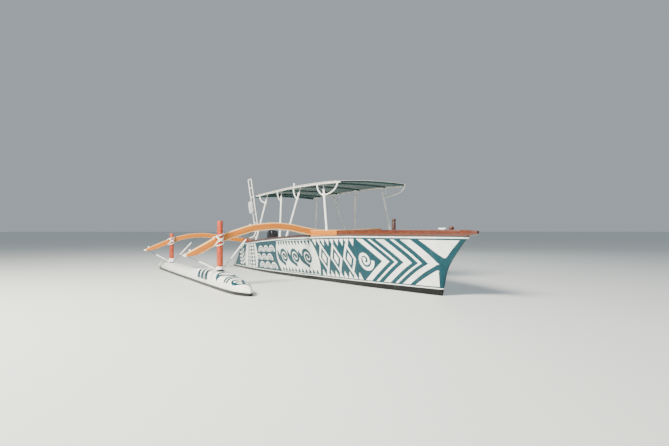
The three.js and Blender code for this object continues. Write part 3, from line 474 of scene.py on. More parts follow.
tone = add(tree, "MapRange", {"Value": own.outputs["Value"], "To Min": 0.84, "To Max": 1.12})
toned = add(tree, "VectorMath", {0: wood, "Scale": tone}, operation="SCALE")
# The glue line is under 1 mm, drawn at 2 mm so that it shows.
edge = add(tree, "Math", {0: within, 1: 0.09}, operation="LESS_THAN")
glue = add(tree, "Math", {0: edge, 1: 0.45}, operation="MULTIPLY")
glued = add(tree, "Mix", {0: glue, 6: toned, 7: linear("8E5524")}, data_type="RGBA")
# The strips at the top and the bottom of the depth are paler: painted highlight along the eased
# edges, where light catches them.
rim = add(tree, "Math", {0: axes["Y"]}, operation="ABSOLUTE")
pale = add(tree, "MapRange", {"Value": rim, "From Min": 0.050, "From Max": 0.066,
                              "To Min": 0.0, "To Max": 0.7})
edge_highlighted = add(tree, "Mix", {0: pale, 6: glued.outputs[2], 7: linear("F0D49A")}, data_type="RGBA")
gloss = add(tree, "MapRange", {"Value": grain, "To Min": 0.32, "To Max": 0.5})
show(tree, shader, edge_highlighted.outputs[2], gloss, grain, 0.2, 0.0006)

post_wood, tree, shader = finish("red_stained_hardwood", Coat_Weight=0.2, Coat_Roughness=0.3)
spot = add(tree, "TexCoord").outputs["Object"]
fibres = add(tree, "Mapping", {"Vector": spot, "Scale": (34.0, 34.0, 1.8)})
grain = add(tree, "TexNoise", {"Vector": fibres, "Scale": 1.3, "Detail": 8.0,
                               "Roughness": 0.6, "Distortion": 0.5})
wood = add(tree, "ValToRGB", {"Fac": grain},
           stops=[(0.28, "6A2008"), (0.45, "9E330C"), (0.6, "B24416"), (0.78, "C66030")])
worn = add(tree, "TexNoise", {"Vector": spot, "Scale": 5.0, "Detail": 5.0})
faded = add(tree, "MapRange", {"Value": worn, "From Min": 0.52, "From Max": 0.75,
                               "To Min": 0.0, "To Max": 0.22})
colour = add(tree, "Mix", {0: faded, 6: wood, 7: linear("DA8C60")}, data_type="RGBA")
gloss = add(tree, "MapRange", {"Value": worn, "To Min": 0.36, "To Max": 0.6})
show(tree, shader, colour.outputs[2], gloss, grain, 0.3, 0.0008)

# Sawn ends are dark, dull and rough, with pores drawn at 14 mm so that they show.
end_grain = mottled(
    "sawn_end_grain", {"Scale": 70.0, "Detail": 6.0, "Distortion": 1.2},
    [(0.3, "4C2413"), (0.6, "7C4022"), (0.8, "9A5C38")], None, 0.4, 0.001, Roughness=0.75)
print("wood finishes:", len(varnished) + 3)

# %% [markdown]
# **Metals, plastics and vinyl.** The canopy frame and ladder are aluminium tube with white powder
# coat, a paint baked on as dust that leaves a faint orange-peel skin. The outboard is a moulded
# black cowling over grey castings, and its propeller and the ladder's brackets are stainless steel.

# %% Powder coat, castings, steel, moulded plastic and vinyl
# A satin white with greyer patches. The orange-peel cells of 1 mm are drawn at 4 mm.
powder_coat = mottled(
    "white_powder_coat", {"Scale": 7.0, "Detail": 6.0, "Roughness": 0.65},
    [(0.3, "CFD2CC"), (0.48, "EDEFEC"), (0.8, "F6F8F6")], (0.48, 0.3), 0.08, 0.0004,
    ("TexVoronoi", {"Scale": 260.0}), Coat_Weight=0.15, Coat_Roughness=0.25)
# A dark satin paint whose chips and dull spots, 40 mm apart, let lighter metal through.
casting = mottled(
    "painted_aluminium_casting", {"Scale": 24.0, "Detail": 8.0, "Roughness": 0.7},
    [(0.3, "26282B"), (0.55, "383B3F"), (0.78, "5A5E62")], (0.38, 0.62), 0.15, 0.0006,
    Metallic=0.25)
# Bright metal, cloudy at 11 mm where it was polished by hand.
steel = mottled(
    "stainless_steel", {"Scale": 90.0, "Detail": 4.0},
    [(0.3, "A9ABAC"), (0.6, "C6C8C9"), (0.8, "D8D9D9")], (0.18, 0.36), 0.05, 0.0004,
    Metallic=1.0)
# Deep gloss black from a polished mould, under a grey haze of dried salt.
moulded = mottled(
    "moulded_black_cowling", {"Scale": 9.0, "Detail": 7.0, "Roughness": 0.7},
    [(0.35, "101216"), (0.6, "1A1D22"), (0.82, "2E3238")], (0.22, 0.45), 0.05, 0.0004,
    Coat_Weight=0.6, Coat_Roughness=0.1)
# Soft grey vinyl, rubbed darker in patches of 80 mm.
vinyl = mottled(
    "inflated_fender_vinyl", {"Scale": 13.0, "Detail": 6.0, "Roughness": 0.7},
    [(0.3, "8D9298"), (0.5, "B9BDC2"), (0.75, "D2D5D8")], (0.5, 0.34), 0.1, 0.0006,
    Coat_Weight=0.2, Coat_Roughness=0.3)
print("hardware finishes: 5")

# %% [markdown]
# ** Deck paint, rope and cloth.** Deck paint holds fine sand for grip, so its bump is a grit, drawn
# at 2 mm so that it shows. Rope is laid from strands that cross its run at a slant: the material
# reads the run in metres and the share of the way round. The canopy is woven acrylic, dull and
# soft, and its weave of 1 mm is drawn at 6 mm. Its underside is darker with painted shade, as it
# lies in shadow.

# %% Deck paint, laid rope and woven canopy cloth
deck_paint = mottled(
    "sanded_deck_paint", {"Scale": 2.4, "Detail": 6.0, "Roughness": 0.65},
    [(0.3, "B7B1A2"), (0.5, "D6D2C6"), (0.75, "E6E3DA")], (0.62, 0.85), 0.35, 0.001,
    ("TexNoise", {"Scale": 420.0, "Detail": 2.0}))

ROPES = {"white_laid_rope": ("C9C4B6", "F1EEE6"), "olive_laid_rope": ("4F5236", "7F8257")}
ropes = []
for name, (low, high) in ROPES.items():
    rope, tree, shader = finish(name, Roughness=0.75)
    ropes.append(rope)
    run = add(tree, "UVMap", uv_map="Run")
    axes = add(tree, "SeparateXYZ", {"Vector": run}).outputs
    # Three strands make a full turn in about 32 mm of rope.
    wind = add(tree, "Math", {0: axes["X"], 1: 95.0, 2: axes["Y"]}, operation="MULTIPLY_ADD")
    wave = add(tree, "Math", {0: wind, 1: TURN}, operation="MULTIPLY")
    lay = add(tree, "Math", {0: wave}, operation="SINE")
    strand = add(tree, "MapRange", {"Value": lay, "From Min": -1.0, "From Max": 1.0})
    # The grooves between the strands are darker than the crowns: painted shade in the lay.
    colour = add(tree, "ValToRGB", {"Fac": strand}, stops=[(0.05, low), (0.7, high)])
    show(tree, shader, colour, None, strand, 0.8, 0.0015)
white_rope, olive_rope = ropes

# The underside's darker stops are the cloth's grey-green with painted shade, as it lies in shadow.
CLOTHS = {"canopy_acrylic_top": ("B9C6BD", "E4EAE5"), "canopy_acrylic_under": ("183F42", "2E5C5E")}
cloths = []
for name, (dark, light) in CLOTHS.items():
    cloth, tree, shader = finish(name, Roughness=0.9, Sheen_Weight=0.15)
    cloths.append(cloth)
    run = add(tree, "UVMap", uv_map="Run")
    fade = add(tree, "TexNoise", {"Vector": run, "Scale": 1.6, "Detail": 6.0, "Roughness": 0.6})
    colour = add(tree, "ValToRGB", {"Fac": fade}, stops=[(0.3, dark), (0.7, light)])
    warp = add(tree, "TexWave", {"Vector": run, "Scale": 52.0}, bands_direction="X")
    weft = add(tree, "TexWave", {"Vector": run, "Scale": 52.0}, bands_direction="Y")
    weave = add(tree, "Math", {0: warp.outputs["Fac"], 1: weft.outputs["Fac"]},
                operation="MULTIPLY")
    show(tree, shader, colour, None, weave, 0.25, 0.0006)
canvas, canvas_under_painted_shade = cloths
print("cloth faces:", canvas.name, canvas_under_painted_shade.name)

# %% [markdown]
# ## The hull
# The real hull is planked on frames: flat sides that flare out, a hard corner called the chine, and
# a shallow bottom. Every section is straight lines between three corners, so the skin is a grid of
# sections, and hat-shaped weights spread each section's points between its corners. The inside is
# the same shape drawn in by the planking's thickness. Cutting one closed solid from another keeps
# walls of even thickness with no seams, which is hard to reach by pushing faces about by hand.

# %% Hull sections and cutting tools
WALL = 0.035
STEM_HALF = 0.014
TRANSOM_FOOT, TRANSOM_HEAD, HEAD_HEIGHT, TRANSOM_WALL = 9.95, 8.64, 0.770, 0.070
TRANSOM_RAKE = (TRANSOM_FOOT - TRANSOM_HEAD) / HEAD_HEIGHT
WELL_FROM, WELL_HALF, WELL_TOP = 7.96, 0.25, 0.76
# Past the boat in every direction, for the far sides of cutting tools.
PAST_STERN, PAST_TOP, PAST_KEEL = 11.5, 1.5, -0.7
SIDES = {"starboard": 1, "port": -1}


def transom_aft(height):
    """The place of the raked transom at a height."""
    return TRANSOM_FOOT - TRANSOM_RAKE * height


def hull_grid(aft, inset=0.0, rise=0.0):
    """Sections at places aft, drawn in by an inset and carried above the sheer by a rise. A point
    at share t from sheer 0 by chine 1 to keel 2 weighs each corner by one minus its distance."""
    keel, half, chine, sheer_half, sheer = section(aft)
    flare = (sheer_half - half) / (sheer - chine)
    chine_half = np.maximum(half - 1.1 * inset, STEM_HALF / 2)
    keel_half = np.minimum(STEM_HALF, 0.9 * chine_half)
    out = np.stack([sheer_half + flare * rise - inset, chine_half, keel_half], -1)
    up = np.stack([sheer + rise, chine + inset / 2, keel + inset], -1)
    share = np.append(np.linspace(0, 1, 9), np.linspace(1, 2, 6)[1:])
    weight = np.clip(1 - np.abs(share[:, None] - np.arange(3)), 0, 1)
    out, up = out @ weight.T, up @ weight.T
    out = np.concatenate([out, -out[:, ::-1]], 1)
    return place(aft[:, None], out, np.concatenate([up, up[:, ::-1]], 1))


def prism(outline, low, high):
    """An outline of (aft, height) points carried straight across between two distances out."""
    aft, height = np.asarray(outline, float).T
    return skin(place(aft[None], np.array([[low], [high]]), height[None]))


def block(aft, out, height):
    """A box between two places aft, two places out and two heights."""
    (near, far), (low, high) = aft, height
    return prism([(near, low), (far, low), (far, high), (near, high)], *out)


def carved(solid, cutters):
    """A solid mesh with each cutter's mesh taken away from it."""
    made = [bpy.data.objects.new(mesh.name, mesh) for mesh in [solid, *cutters]]
    for tool in made:
        bpy.context.scene.collection.objects.link(tool)
    for tool in made[1:]:
        cut = made[0].modifiers.new("cut", "BOOLEAN")
        cut.operation, cut.solver, cut.object = "DIFFERENCE", "MANIFOLD", tool
    seen = made[0].evaluated_get(bpy.context.evaluated_depsgraph_get())
    result = bpy.data.meshes.new_from_object(seen)
    for tool in made:
        bpy.data.objects.remove(tool)
    result.materials.clear()
    return result


def stern(inset):
    """Everything aft of the raked transom, moved forward by an inset. Below the water the hull is
    cut back under its foot."""
    top, foot = 1.4, -0.6
    line = [(transom_aft(top) - inset, top), (TRANSOM_FOOT - inset, 0.0),
            (TRANSOM_FOOT - 0.15 - inset, foot), (PAST_STERN, foot), (PAST_STERN, top)]
    return mesh_of("stern", [prism(line, -1.5, 1.5)])


def well(inset):
    """The slot through the stern in which the motor hangs."""
    half = WELL_HALF + inset
    reach = (WELL_FROM - inset, PAST_STERN)
    return mesh_of("well", [block(reach, (-half, half), (PAST_KEEL, PAST_TOP))])


stations = np.concatenate([
    np.linspace(-0.68, -0.03, 34), np.linspace(-0.02, 0.42, 30), np.linspace(0.45, 10.3, 160)])
inner = hull_grid(stations[stations >= -0.42], WALL, 0.16)
cavity = carved(mesh_of("cavity", [skin(inner)]), [stern(TRANSOM_WALL), well(WALL)])
# The walls of the well are cut down to 0.76 m above the water.
coaming = mesh_of("coaming", [block((7.82, 9.5), (-0.287, 0.287), (WELL_TOP, 1.2))])
planked = mesh_of("planked", [skin(hull_grid(stations))])
shell = carved(planked, [cavity, stern(0), well(0), coaming])
print("hull faces:", len(shell.polygons))

# %% [markdown]
# The faces inside the boat get deck paint and the others the enamel. A face is inside if its
# middle lies more than 10 mm in from the outer skin and the transom, which the stations give for
# its height, and more than 120 mm above the keel.

# %% Paint the hull inside and out
SKIN_DEPTH, BOTTOM_DEPTH = 0.010, 0.12
middles = np.empty(3 * len(shell.polygons))
shell.polygons.foreach_get("center", middles)
middles = middles.reshape(-1, 3)
face_aft, face_out, face_up = BOW_X - middles[:, 0], np.abs(middles[:, 1]), middles[:, 2]
inside = face_out < side_out(face_aft, face_up) - SKIN_DEPTH
inside &= face_up > along(HULL, KEEL, face_aft) + BOTTOM_DEPTH
inside &= face_aft < transom_aft(face_up) - SKIN_DEPTH
shell.polygons.foreach_set("material_index", inside.astype(np.int32))
piece("hull_planking", shell, [hull_enamel, deck_paint], replaces=["hull_shell"],
      crease=22)
print("faces inside:", int(inside.sum()))

# %% [markdown]
# **Rails.** A thick, round-edged mahogany rail caps the bow. A deep laminated bar follows it to the
# front crossbeam, level on top, and a thin dark gunwale runs on aft. Each is a rounded bar swept
# along the sheer. The bow rail ends aft in a nose: its section shrinks by the quarter-circle rule,
# the square root of one less the square of the share.

# %% Bow rails, gunwales and prow
RAIL_END, RAIL_NOSE, RAIL_PROUD = 2.54, 0.07, 0.012
RAIL_SIZE, GUNWALE_SIZE = (0.066, 0.112), (0.050, 0.045)
SHELF_END, SHELF_TOP, SHELF_SHAPE = 3.4852, 1.1773, 0.12


def sheer_path(aft, sign, width, height):
    """The middle line of a bar that lies on the sheer and stands a little proud of the planks."""
    out = along(HULL, SHEER_HALF, aft) + RAIL_PROUD - width / 2
    return place(aft, sign * out, along(HULL, SHEER, aft) + height / 2)


def nosed(aft, end, length):
    """Section scale near an end: a quarter circle over the last length."""
    return np.sqrt(np.clip(1 - np.clip((aft - (end - length)) / length, 0, 0.995) ** 2, 0, 1))


for name, sign in SIDES.items():
    nose = RAIL_END - RAIL_NOSE * (1 - np.linspace(0, 1, 12)) ** 2
    aft = np.append(np.linspace(-0.56, 2.46, 90), nose)
    bar = sweep(sheer_path(aft, sign, *RAIL_SIZE), rounded(*RAIL_SIZE, 0.028, 7),
                scale=nosed(aft, RAIL_END, RAIL_NOSE))
    piece(f"bow_rail_{name}_varnished", [bar], [mahogany],
          replaces=[f"bow_rail_{name}"])
    aft = np.linspace(RAIL_END - 0.05, SHELF_END, 30)
    tall = SHELF_TOP - along(HULL, SHEER, aft)
    shape = np.repeat(rounded(RAIL_SIZE[0], SHELF_SHAPE, 0.012)[None], len(aft), 0)
    shape[..., 1] *= tall[:, None] / SHELF_SHAPE
    bar = sweep(sheer_path(aft, sign, RAIL_SIZE[0], tall), shape,
                girth=np.append(shape[..., 1], shape[:, :1, 1], 1))
    piece(f"beam_shelf_{name}_laminated", [bar], [honey_wood],
          replaces=[f"beam_shelf_{name}"])
    # The gunwale's darker mahogany is partly painted shade along the hull's top edge.
    aft = np.linspace(SHELF_END + 0.001, 8.56, 200)
    strip = sweep(sheer_path(aft, sign, *GUNWALE_SIZE), rounded(*GUNWALE_SIZE, 0.013))
    piece(f"gunwale_{name}_varnished", [strip], [dark_mahogany_painted_shade],
          replaces=[f"gunwale_{name}"])

# The prow board closes the rails and tapers, its underside rising to the tip.
PROW_FROM, PROW_TIP = -0.545, -0.9
aft = np.linspace(PROW_FROM, PROW_TIP, 24)
share = (aft - PROW_FROM) / (PROW_TIP - PROW_FROM)
half = np.interp(aft, [PROW_TIP, -0.8, PROW_FROM], [0.024, 0.058, 0.094])
low = 1.0705 + 0.075 * np.clip(share - 0.35, 0, 1) ** 1.3
high = 1.1815 - 0.02 * share ** 2
corner = rounded(2.0, 2.0, 0.35, 6)
grid = place(aft[:, None], half[:, None] * corner[:, 0],
             (low + high)[:, None] / 2 + (high - low)[:, None] / 2 * corner[:, 1])
piece("prow_board_varnished", [skin(grid)], [mahogany], replaces=["prow_board"])
print("rail ends at", RAIL_END, "m aft")

# %% [markdown]
# **Decks, benches and brackets** are plain boards and plates whose CAD shape is right already, so
# they stay and only get paint: a material goes into the slots of the CAD node's own object.

# %% Paint the boards and brackets
PAINTED = {
    "foredeck": white_enamel, "bulkhead_front": deck_paint, "bulkhead_aft": deck_paint,
    "cockpit_sole": deck_paint, "aft_deck": deck_paint, "bench_starboard": deck_paint,
    "bench_port": deck_paint, "motor_board": mahogany, "motor_clamp": casting,
    "motor_swivel": casting, "ladder_bracket_fore": steel, "ladder_bracket_after": steel,
}


def repaint(node, material):
    """Puts a material in every slot of a CAD node's object."""
    for slot in bpy.data.objects[node].material_slots:
        slot.material = material


for node, material in PAINTED.items():
    repaint(node, material)
print("boards and brackets painted:", len(PAINTED))

# %% [markdown]
# ## The float and what carries it
# The float is a slim hull of its own. Its sections are superellipses, which are ellipses whose
# corners are pushed out by a power, so one number takes them from round ends to square middles.

# %% Float
def superellipse(turn, power):
    """The cosine and the sine of a turn, each raised to a power with its sign kept."""
    return [np.sign(part) * np.abs(part) ** power for part in (np.cos(turn), np.sin(turn))]


def float_point(aft, turn, grow=0.0):
    """A point on the float's skin: the superellipse's two parts, to the power of 2 over the
    squareness, times the half-breadth and the half-depth."""
    top, bottom, half, square = (along(FLOAT, k, aft) for k in (TOP, BOTTOM, HALF, SQUARE))
    across, up = superellipse(turn, 2 / square)
    height = (top + bottom) / 2 + ((top - bottom) / 2 + grow) * up
    return place(aft, FLOAT_OUT + (half + grow) * across, height)


around = np.arange(96) * TURN / 96
aft = np.concatenate([1.5 + 0.4 * np.linspace(0, 1, 26) ** 2, np.linspace(1.95, 9.6, 130),
                      10.09 - 0.45 * (1 - np.linspace(0, 1, 24)) ** 2])
body = float_point(aft[:, None], around[None])
# Each end is closed by rings that shrink toward a point up to 20 mm beyond it.
tips = []
for end, step in ((body[0], 0.010), (body[-1], -0.010)):
    middle = end.mean(0)
    tips.append([middle + (end - middle) * size + (step * (1 - size) * 2, 0, 0)
                 for size in (0.12, 0.4, 0.7, 0.9)])
body = np.concatenate([tips[0], body, tips[1][::-1]])
piece("float_painted", [skin(body)], [float_enamel], replaces=["float"], crease=50)
print("float deck at the front post:", round(float(along(FLOAT, TOP, 3.42)), 3))

# %% [markdown]
# **Crossbeams** are glued up from thin strips bent over a mould, so they have a square section with
# eased edges and a sweet curve. A rounded bar is swept along the curve, and its UV keeps the depth
# within the beam, which is what tells the wood material where one strip ends. Over the last third
# of a metre the underside rises to a thin tip, which is dipped in white paint. The inner end of the
# rear beam has a band of red stain.

# %% Crossbeams
POST_RADIUS = 0.066
BEAM_THICK, TIP_LENGTH, TIP_SHARE, DIPPED, STAIN_END = 0.096, 0.33, 0.26, 0.050, 0.86
BEAMS = {
    "front": {"post": 3.42, "top": 1.375, "slim": 0.057, "collar": 0.086, "depth": 0.156,
              "line": np.array([
                  [-1010, 1155], [-900, 1153], [0, 1112], [600, 1118], [930, 1150], [1150, 1188],
                  [1450, 1246], [1800, 1272], [2280, 1230], [2580, 1149], [3070, 976],
                  [3400, 798], [3775, 596]]) / 1000},
    "rear": {"post": 8.50, "top": 1.100, "slim": 0.052, "collar": 0.120, "depth": 0.132,
             "line": np.array([
                 [330, 767], [640, 845], [900, 884], [1300, 938], [1766, 1003], [2130, 1037],
                 [2500, 1016], [2780, 960], [3070, 872], [3400, 745], [3810, 558]]) / 1000},
}


def beam_aft(beam):
    """The beam lies against the after side of its post."""
    return beam["post"] + POST_RADIUS + BEAM_THICK / 2 + 0.0003


def beam_share(beam, out):
    """Share of the beam's depth that is left: one, less a power of the way into the tip."""
    into = np.clip((out - beam["line"][-1, 0]) / TIP_LENGTH + 1, 0, 1)
    return 1 - (1 - TIP_SHARE) * into ** 1.5


def beam_bar(beam, out, depth, slot=0):
    """A stretch of beam: its depth is a share of the full one at each place, the top edge stays
    fair, and the UV holds the run and the depth within the beam."""
    path = place(beam_aft(beam), out, along(beam["line"], 1, out))
    shape = np.repeat(rounded(BEAM_THICK, beam["depth"], 0.012)[None], len(out), 0)
    shape[..., 1] = beam["depth"] / 2 - (beam["depth"] / 2 - shape[..., 1]) * depth[:, None]
    return sweep(path, shape, girth=np.append(shape[..., 1], shape[:, :1, 1], 1), slot=slot)


for name, beam in BEAMS.items():
    first, last = beam["line"][0, 0], beam["line"][-1, 0]
    stained = STAIN_END if name == "rear" else first
    out = np.linspace(stained, last - DIPPED, 150)
    parts = [beam_bar(beam, out, beam_share(beam, out))]
    out = last - np.append(np.linspace(DIPPED, 0.02, 6), (0.010, 0.003, 0.0))
    depth = beam_share(beam, out) * nosed(out, last + 0.004, 0.03)
    parts.append(beam_bar(beam, out, depth, slot=1))
    if stained > first:
        out = np.linspace(first, stained, 24)
        parts.append(beam_bar(beam, out, np.ones(24), slot=2))
    knob_out = last - 0.110
    knob_base = float(along(beam["line"], 1, knob_out)) + beam["depth"] / 2 - 0.004
    knob = [(0.022, 0.0), (0.016, 0.010), (0.013, 0.020), (0.022, 0.030), (0.024, 0.040),
            (0.014, 0.050)]
    parts.append(turned(knob, beam_aft(beam), knob_out, knob_base, 24, slot=1))
    piece(f"crossbeam_{name}_laminated", parts, [honey_wood, white_enamel, post_wood],
          replaces=[f"crossbeam_{name}"])
print("tip depth of the front beam:", round(TIP_SHARE * BEAMS["front"]["depth"], 3))

# %% [markdown]
# **Posts.** Each post is a round spar that stands in a white collar on the float. An outline turned
# about the upright line makes both. The sawn top is a thin disc of end grain.

# %% Posts and collars
for name, beam in BEAMS.items():
    deck = float(along(FLOAT, TOP, beam["post"]))
    high = beam["top"] - deck
    slim = beam["slim"]
    spar = turned([(POST_RADIUS - 0.003, -0.02), (POST_RADIUS, 0.0),
                   ((POST_RADIUS + slim) / 2, 0.5 * high), (slim, high - 0.012),
                   (slim - 0.002, high - 0.005), (slim - 0.007, high - 0.0015)],
                  beam["post"], FLOAT_OUT, deck, 56)
    sawn = turned([(slim - 0.0065, high - 0.002), (slim - 0.0065, high - 0.0005),
                   (slim - 0.010, high)], beam["post"], FLOAT_OUT, deck, 56, slot=1)
    piece(f"float_post_{name}_stained", [spar, sawn], [post_wood, end_grain],
          replaces=[f"float_post_{name}"])
    tall, reach = beam["collar"], POST_RADIUS + 0.009
    cup = turned([(reach, 0.026), (reach, tall - 0.010), (reach - 0.003, tall - 0.003),
                  (reach - 0.006, tall), (POST_RADIUS + 0.0008, tall + 0.0005),
                  (POST_RADIUS + 0.0004, tall - 0.03)], beam["post"], FLOAT_OUT, deck, 56)
    # The dark ring at the collar's foot is painted shadow: it stands for the shade under the white
    # collar.
    foot = turned([(reach - 0.002, -0.055), (reach - 0.002, 0.028), (reach - 0.006, 0.030)],
                  beam["post"], FLOAT_OUT, deck, 56, slot=1)
    piece(f"float_collar_{name}_painted", [cup, foot], [white_enamel, casting],
          replaces=[f"float_collar_{name}"])
print("post diameter:", 2 * POST_RADIUS)

# %% [markdown]
# **Stays.** Four thin dark rods brace the posts to the beams, each with a white sleeve over part
# of its length. They are straight sweeps, and the sleeve is a wider one on the same line.

# %% Stays and their sleeves
for name, beam in BEAMS.items():
    deck = float(along(FLOAT, TOP, beam["post"]))
    for side, foot, head, cover in (("inboard", 0.048, 0.74, (0.28, 0.79)),
                                    ("outboard", -0.048, -0.64, (0.05, 0.64))):
        low = place(beam["post"], FLOAT_OUT - foot, deck + 0.018)
        reach = FLOAT_OUT - head
        below = beam["depth"] * (0.5 - beam_share(beam, reach))
        underside = float(along(beam["line"], 1, reach) + below)
        high = place(beam_aft(beam) - 0.020, reach, underside + 0.006)
        line = low + np.linspace(0, 1, 8)[:, None] * (high - low)
        rod = sweep(line, ring(0.0045, 12), up=(1, 0, 0))
        sleeve = low + np.linspace(*cover, 8)[:, None] * (high - low)
        cuff = sweep(sleeve, ring(0.017, 20), up=(1, 0, 0), slot=1,
                     scale=[0.75, 1, 1, 1, 1, 1, 1, 0.75])
        shape = [(0.006, -0.012), (0.020, -0.008), (0.024, 0.004), (0.020, 0.014), (0.006, 0.018)]
        eye = turned(shape, beam["post"], FLOAT_OUT - 1.75 * foot, deck + 0.012, 20, slot=1)
        piece(f"stay_{name}_{side}", [rod, cuff, eye], [casting, powder_coat],
              replaces=[f"brace_{name}_{side}"])
print("stays: 4")

# %% [markdown]
# **Lashings.** Each beam is bound to its post by white rope: turns cross over the front of the post
# as an X, pass over and under the beam and run down its back, with two turns round the post above
# and below. The rope's middle line is written once as a few points that hug the post and the beam,
# a smooth closed curve goes through them, and each further turn is the same line moved along.

# %% Lashings at the posts
ROPE = 0.0065


def at_post(beam):
    """The beam's height at its post, its slope there, and half its upright thickness, which is
    half its depth over the cosine of the slope's angle."""
    step = 0.01
    level, farther = (float(along(beam["line"], 1, FLOAT_OUT + out)) for out in (0.0, step))
    slope = (farther - level) / step
    return level, slope, beam["depth"] / 2 * math.hypot(1, slope)


def crossed_turn(beam, shift):
    """One closed turn of the X: up across the post's front, over the beam, down its back, under it,
    and the same again mirrored. shift moves the turn sideways on the beam and up the post."""
    level, slope, thick = at_post(beam)
    front = np.radians([-80, -45, 0, 45, 80])
    hug, side = POST_RADIUS + ROPE, 0.080 + shift
    climb = np.linspace(-0.062, 0.062, 5) + shift - 0.013
    ahead = np.stack([-hug * np.cos(front), hug * np.sin(front), climb], -1)
    gap = thick + ROPE + 0.002
    back = POST_RADIUS + BEAM_THICK + ROPE
    behind = np.array([[0.072, side, gap], [back - 0.006, side, gap], [back, side, gap - 0.02],
                       [back, side, 0.02 - gap], [back - 0.006, side, -gap], [0.072, side, -gap]])
    behind[:, 2] += slope * side
    mirrored = behind * (1, -1, 1)
    mirrored[:, 2] -= 2 * slope * side
    loop = np.concatenate([ahead, behind, ahead * (1, -1, 1), mirrored])
    line = closed_curve(loop, 150)
    return place(beam["post"] + line[:, 0], FLOAT_OUT + line[:, 1], level + line[:, 2])


def ring_turn(beam, lift):
    """A turn round the post alone, nearly parallel to the beam."""
    level, slope, _ = at_post(beam)
    hug = POST_RADIUS + ROPE * 0.9
    turn = np.arange(64) * TURN / 64
    out = hug * np.sin(turn)
    height = level + lift + slope * out * 0.8
    return place(beam["post"] - hug * np.cos(turn), FLOAT_OUT + out, height)


def rope_loop(line, middle):
    """Rope on a closed line, its section kept square to the line by the way out from a middle."""
    return sweep(line, ring(ROPE, 10), up=unit(line - middle) + (0, 0, 0.001), loop=True)


for name, beam in BEAMS.items():
    turns_made = []
    for shift in (0.0, 0.0135, 0.027):
        line = crossed_turn(beam, shift)
        turns_made.append(rope_loop(line, line.mean(0) + (0.004, 0.002, 0.001)))
    clear = at_post(beam)[2] + ROPE + 0.003
    for lift in (-clear - 0.0125, -clear, clear, clear + 0.0125):
        line = ring_turn(beam, lift)
        turns_made.append(rope_loop(line, line.mean(0)))
    piece(f"lashing_{name}_post", turns_made, [white_rope])
print("rope diameter:", 2 * ROPE)

# %% [markdown]
# ## The canopy
# Bent tubes carry the cloth: two side tubes, six cambered bows and eight legs with curved arms. The
# bows are white tubes in the shadow under the cloth, so they get the underside's shaded colour as
# painted shade. One formula gives the height of the cloth anywhere, and every tube follows it.

# %% Canopy shape
CANOPY_FRONT, CANOPY_REAR, CANOPY_HALF, CAMBER = 2.23, 7.20, 0.95, 0.045
BOWS = [2.30, 3.21, 4.38, 5.59, 6.67, 7.15]
EDGE = np.array([[2.2, 2.205], [3.1, 2.236], [4.5, 2.252], [5.65, 2.231], [7.25, 2.198]])
TUBE_DROP, TUBE_INSET, BOW_TUBE = 0.025, 0.022, 0.016
CORNER_LONG, CORNER_IN = 0.3, 0.130


def canopy_half(aft):
    """Half-breadth of the cloth, drawn in by a square law at the front corners."""
    share = np.clip((CANOPY_FRONT + CORNER_LONG - aft) / CORNER_LONG, 0, 1)
    return CANOPY_HALF - CORNER_IN * share ** 2


def canopy_top(aft, out):
    """Height of the cloth: the edge's height and a parabola across."""
    return along(EDGE, 1, aft) + CAMBER * (1 - (out / CANOPY_HALF) ** 2)


def tube_level(aft, out):
    """Height of a frame tube's middle below the cloth."""
    return canopy_top(aft, out) - TUBE_DROP


def tube_out(aft):
    """How far out a side tube's middle lies."""
    return canopy_half(aft) - TUBE_INSET


for name, sign in SIDES.items():
    aft = np.linspace(2.27, 7.14, 120)
    line = place(aft, sign * tube_out(aft), tube_level(aft, tube_out(aft)))
    tube = sweep(line, ring(BOW_TUBE, 16))
    piece(f"canopy_side_tube_{name}", [tube], [powder_coat],
          replaces=[f"canopy_side_{name}"])
for number, aft in enumerate(BOWS, 1):
    out = np.linspace(-1, 1, 60) * tube_out(aft)
    tube = sweep(place(aft, out, tube_level(aft, out)), ring(BOW_TUBE, 16))
    # The bows wear the cloth underside's colour: painted shade over white tubes.
    piece(f"canopy_bow_tube_{number}", [tube], [canvas_under_painted_shade],
          replaces=[f"canopy_bow_{number}"])
print("canopy crown:", round(float(canopy_top(4.5, 0.0)), 3))

# %% [markdown]
# **Legs.** A leg is a straight 48 mm tube in a foot sleeve. It ends in a ball, and a thinner stem
# goes on up to the frame. The arms leave it as quarter ellipses: out along the sine of a turn and
# up by one less its cosine. A clamp collar covers each joint, as on the real frame.

# %% Canopy legs
LEG_TUBE, ARM_TUBE, BALL, LEG_OUT, ARM_HEIGHT = 0.024, 0.017, 0.030, 0.785, 1.970
# A direction that no leg or arm runs along, to turn their sections by.
ASIDE = (0, 1, 0.01)
LEGS = [
    {"name": "1", "foot": 2.87, "lean": 0.27, "arms": [0.09, -0.75]},
    {"name": "2", "foot": 4.76, "lean": -0.38, "arms": [0.02]},
    {"name": "3", "foot": 5.21, "lean": 0.385, "arms": [0.01]},
    {"name": "4", "foot": 7.10, "lean": -0.48, "arms": [0.18]},
]


def leg_line(leg, sign):
    """The foot and head of a leg: on the bar or the gunwale, and under the cloth."""
    top = leg["foot"] + leg["lean"]
    gunwale = along(HULL, SHEER, leg["foot"]) + GUNWALE_SIZE[1]
    rail = SHELF_TOP if leg["foot"] < SHELF_END else gunwale
    foot = place(leg["foot"], sign * (along(HULL, SHEER_HALF, leg["foot"]) - 0.012), rail + 0.0005)
    head = place(top, sign * LEG_OUT, canopy_top(top, LEG_OUT) - 0.042)
    return foot, head


def collar(middle, axis, radius, length):
    """A short sleeve with rounded rims about a tube."""
    path = middle + np.linspace(-0.5, 0.5, 7)[:, None] * length * unit(axis)
    return sweep(path, ring(radius, 24), up=ASIDE, scale=[0.88, 0.97, 1, 1, 1, 0.97, 0.88])


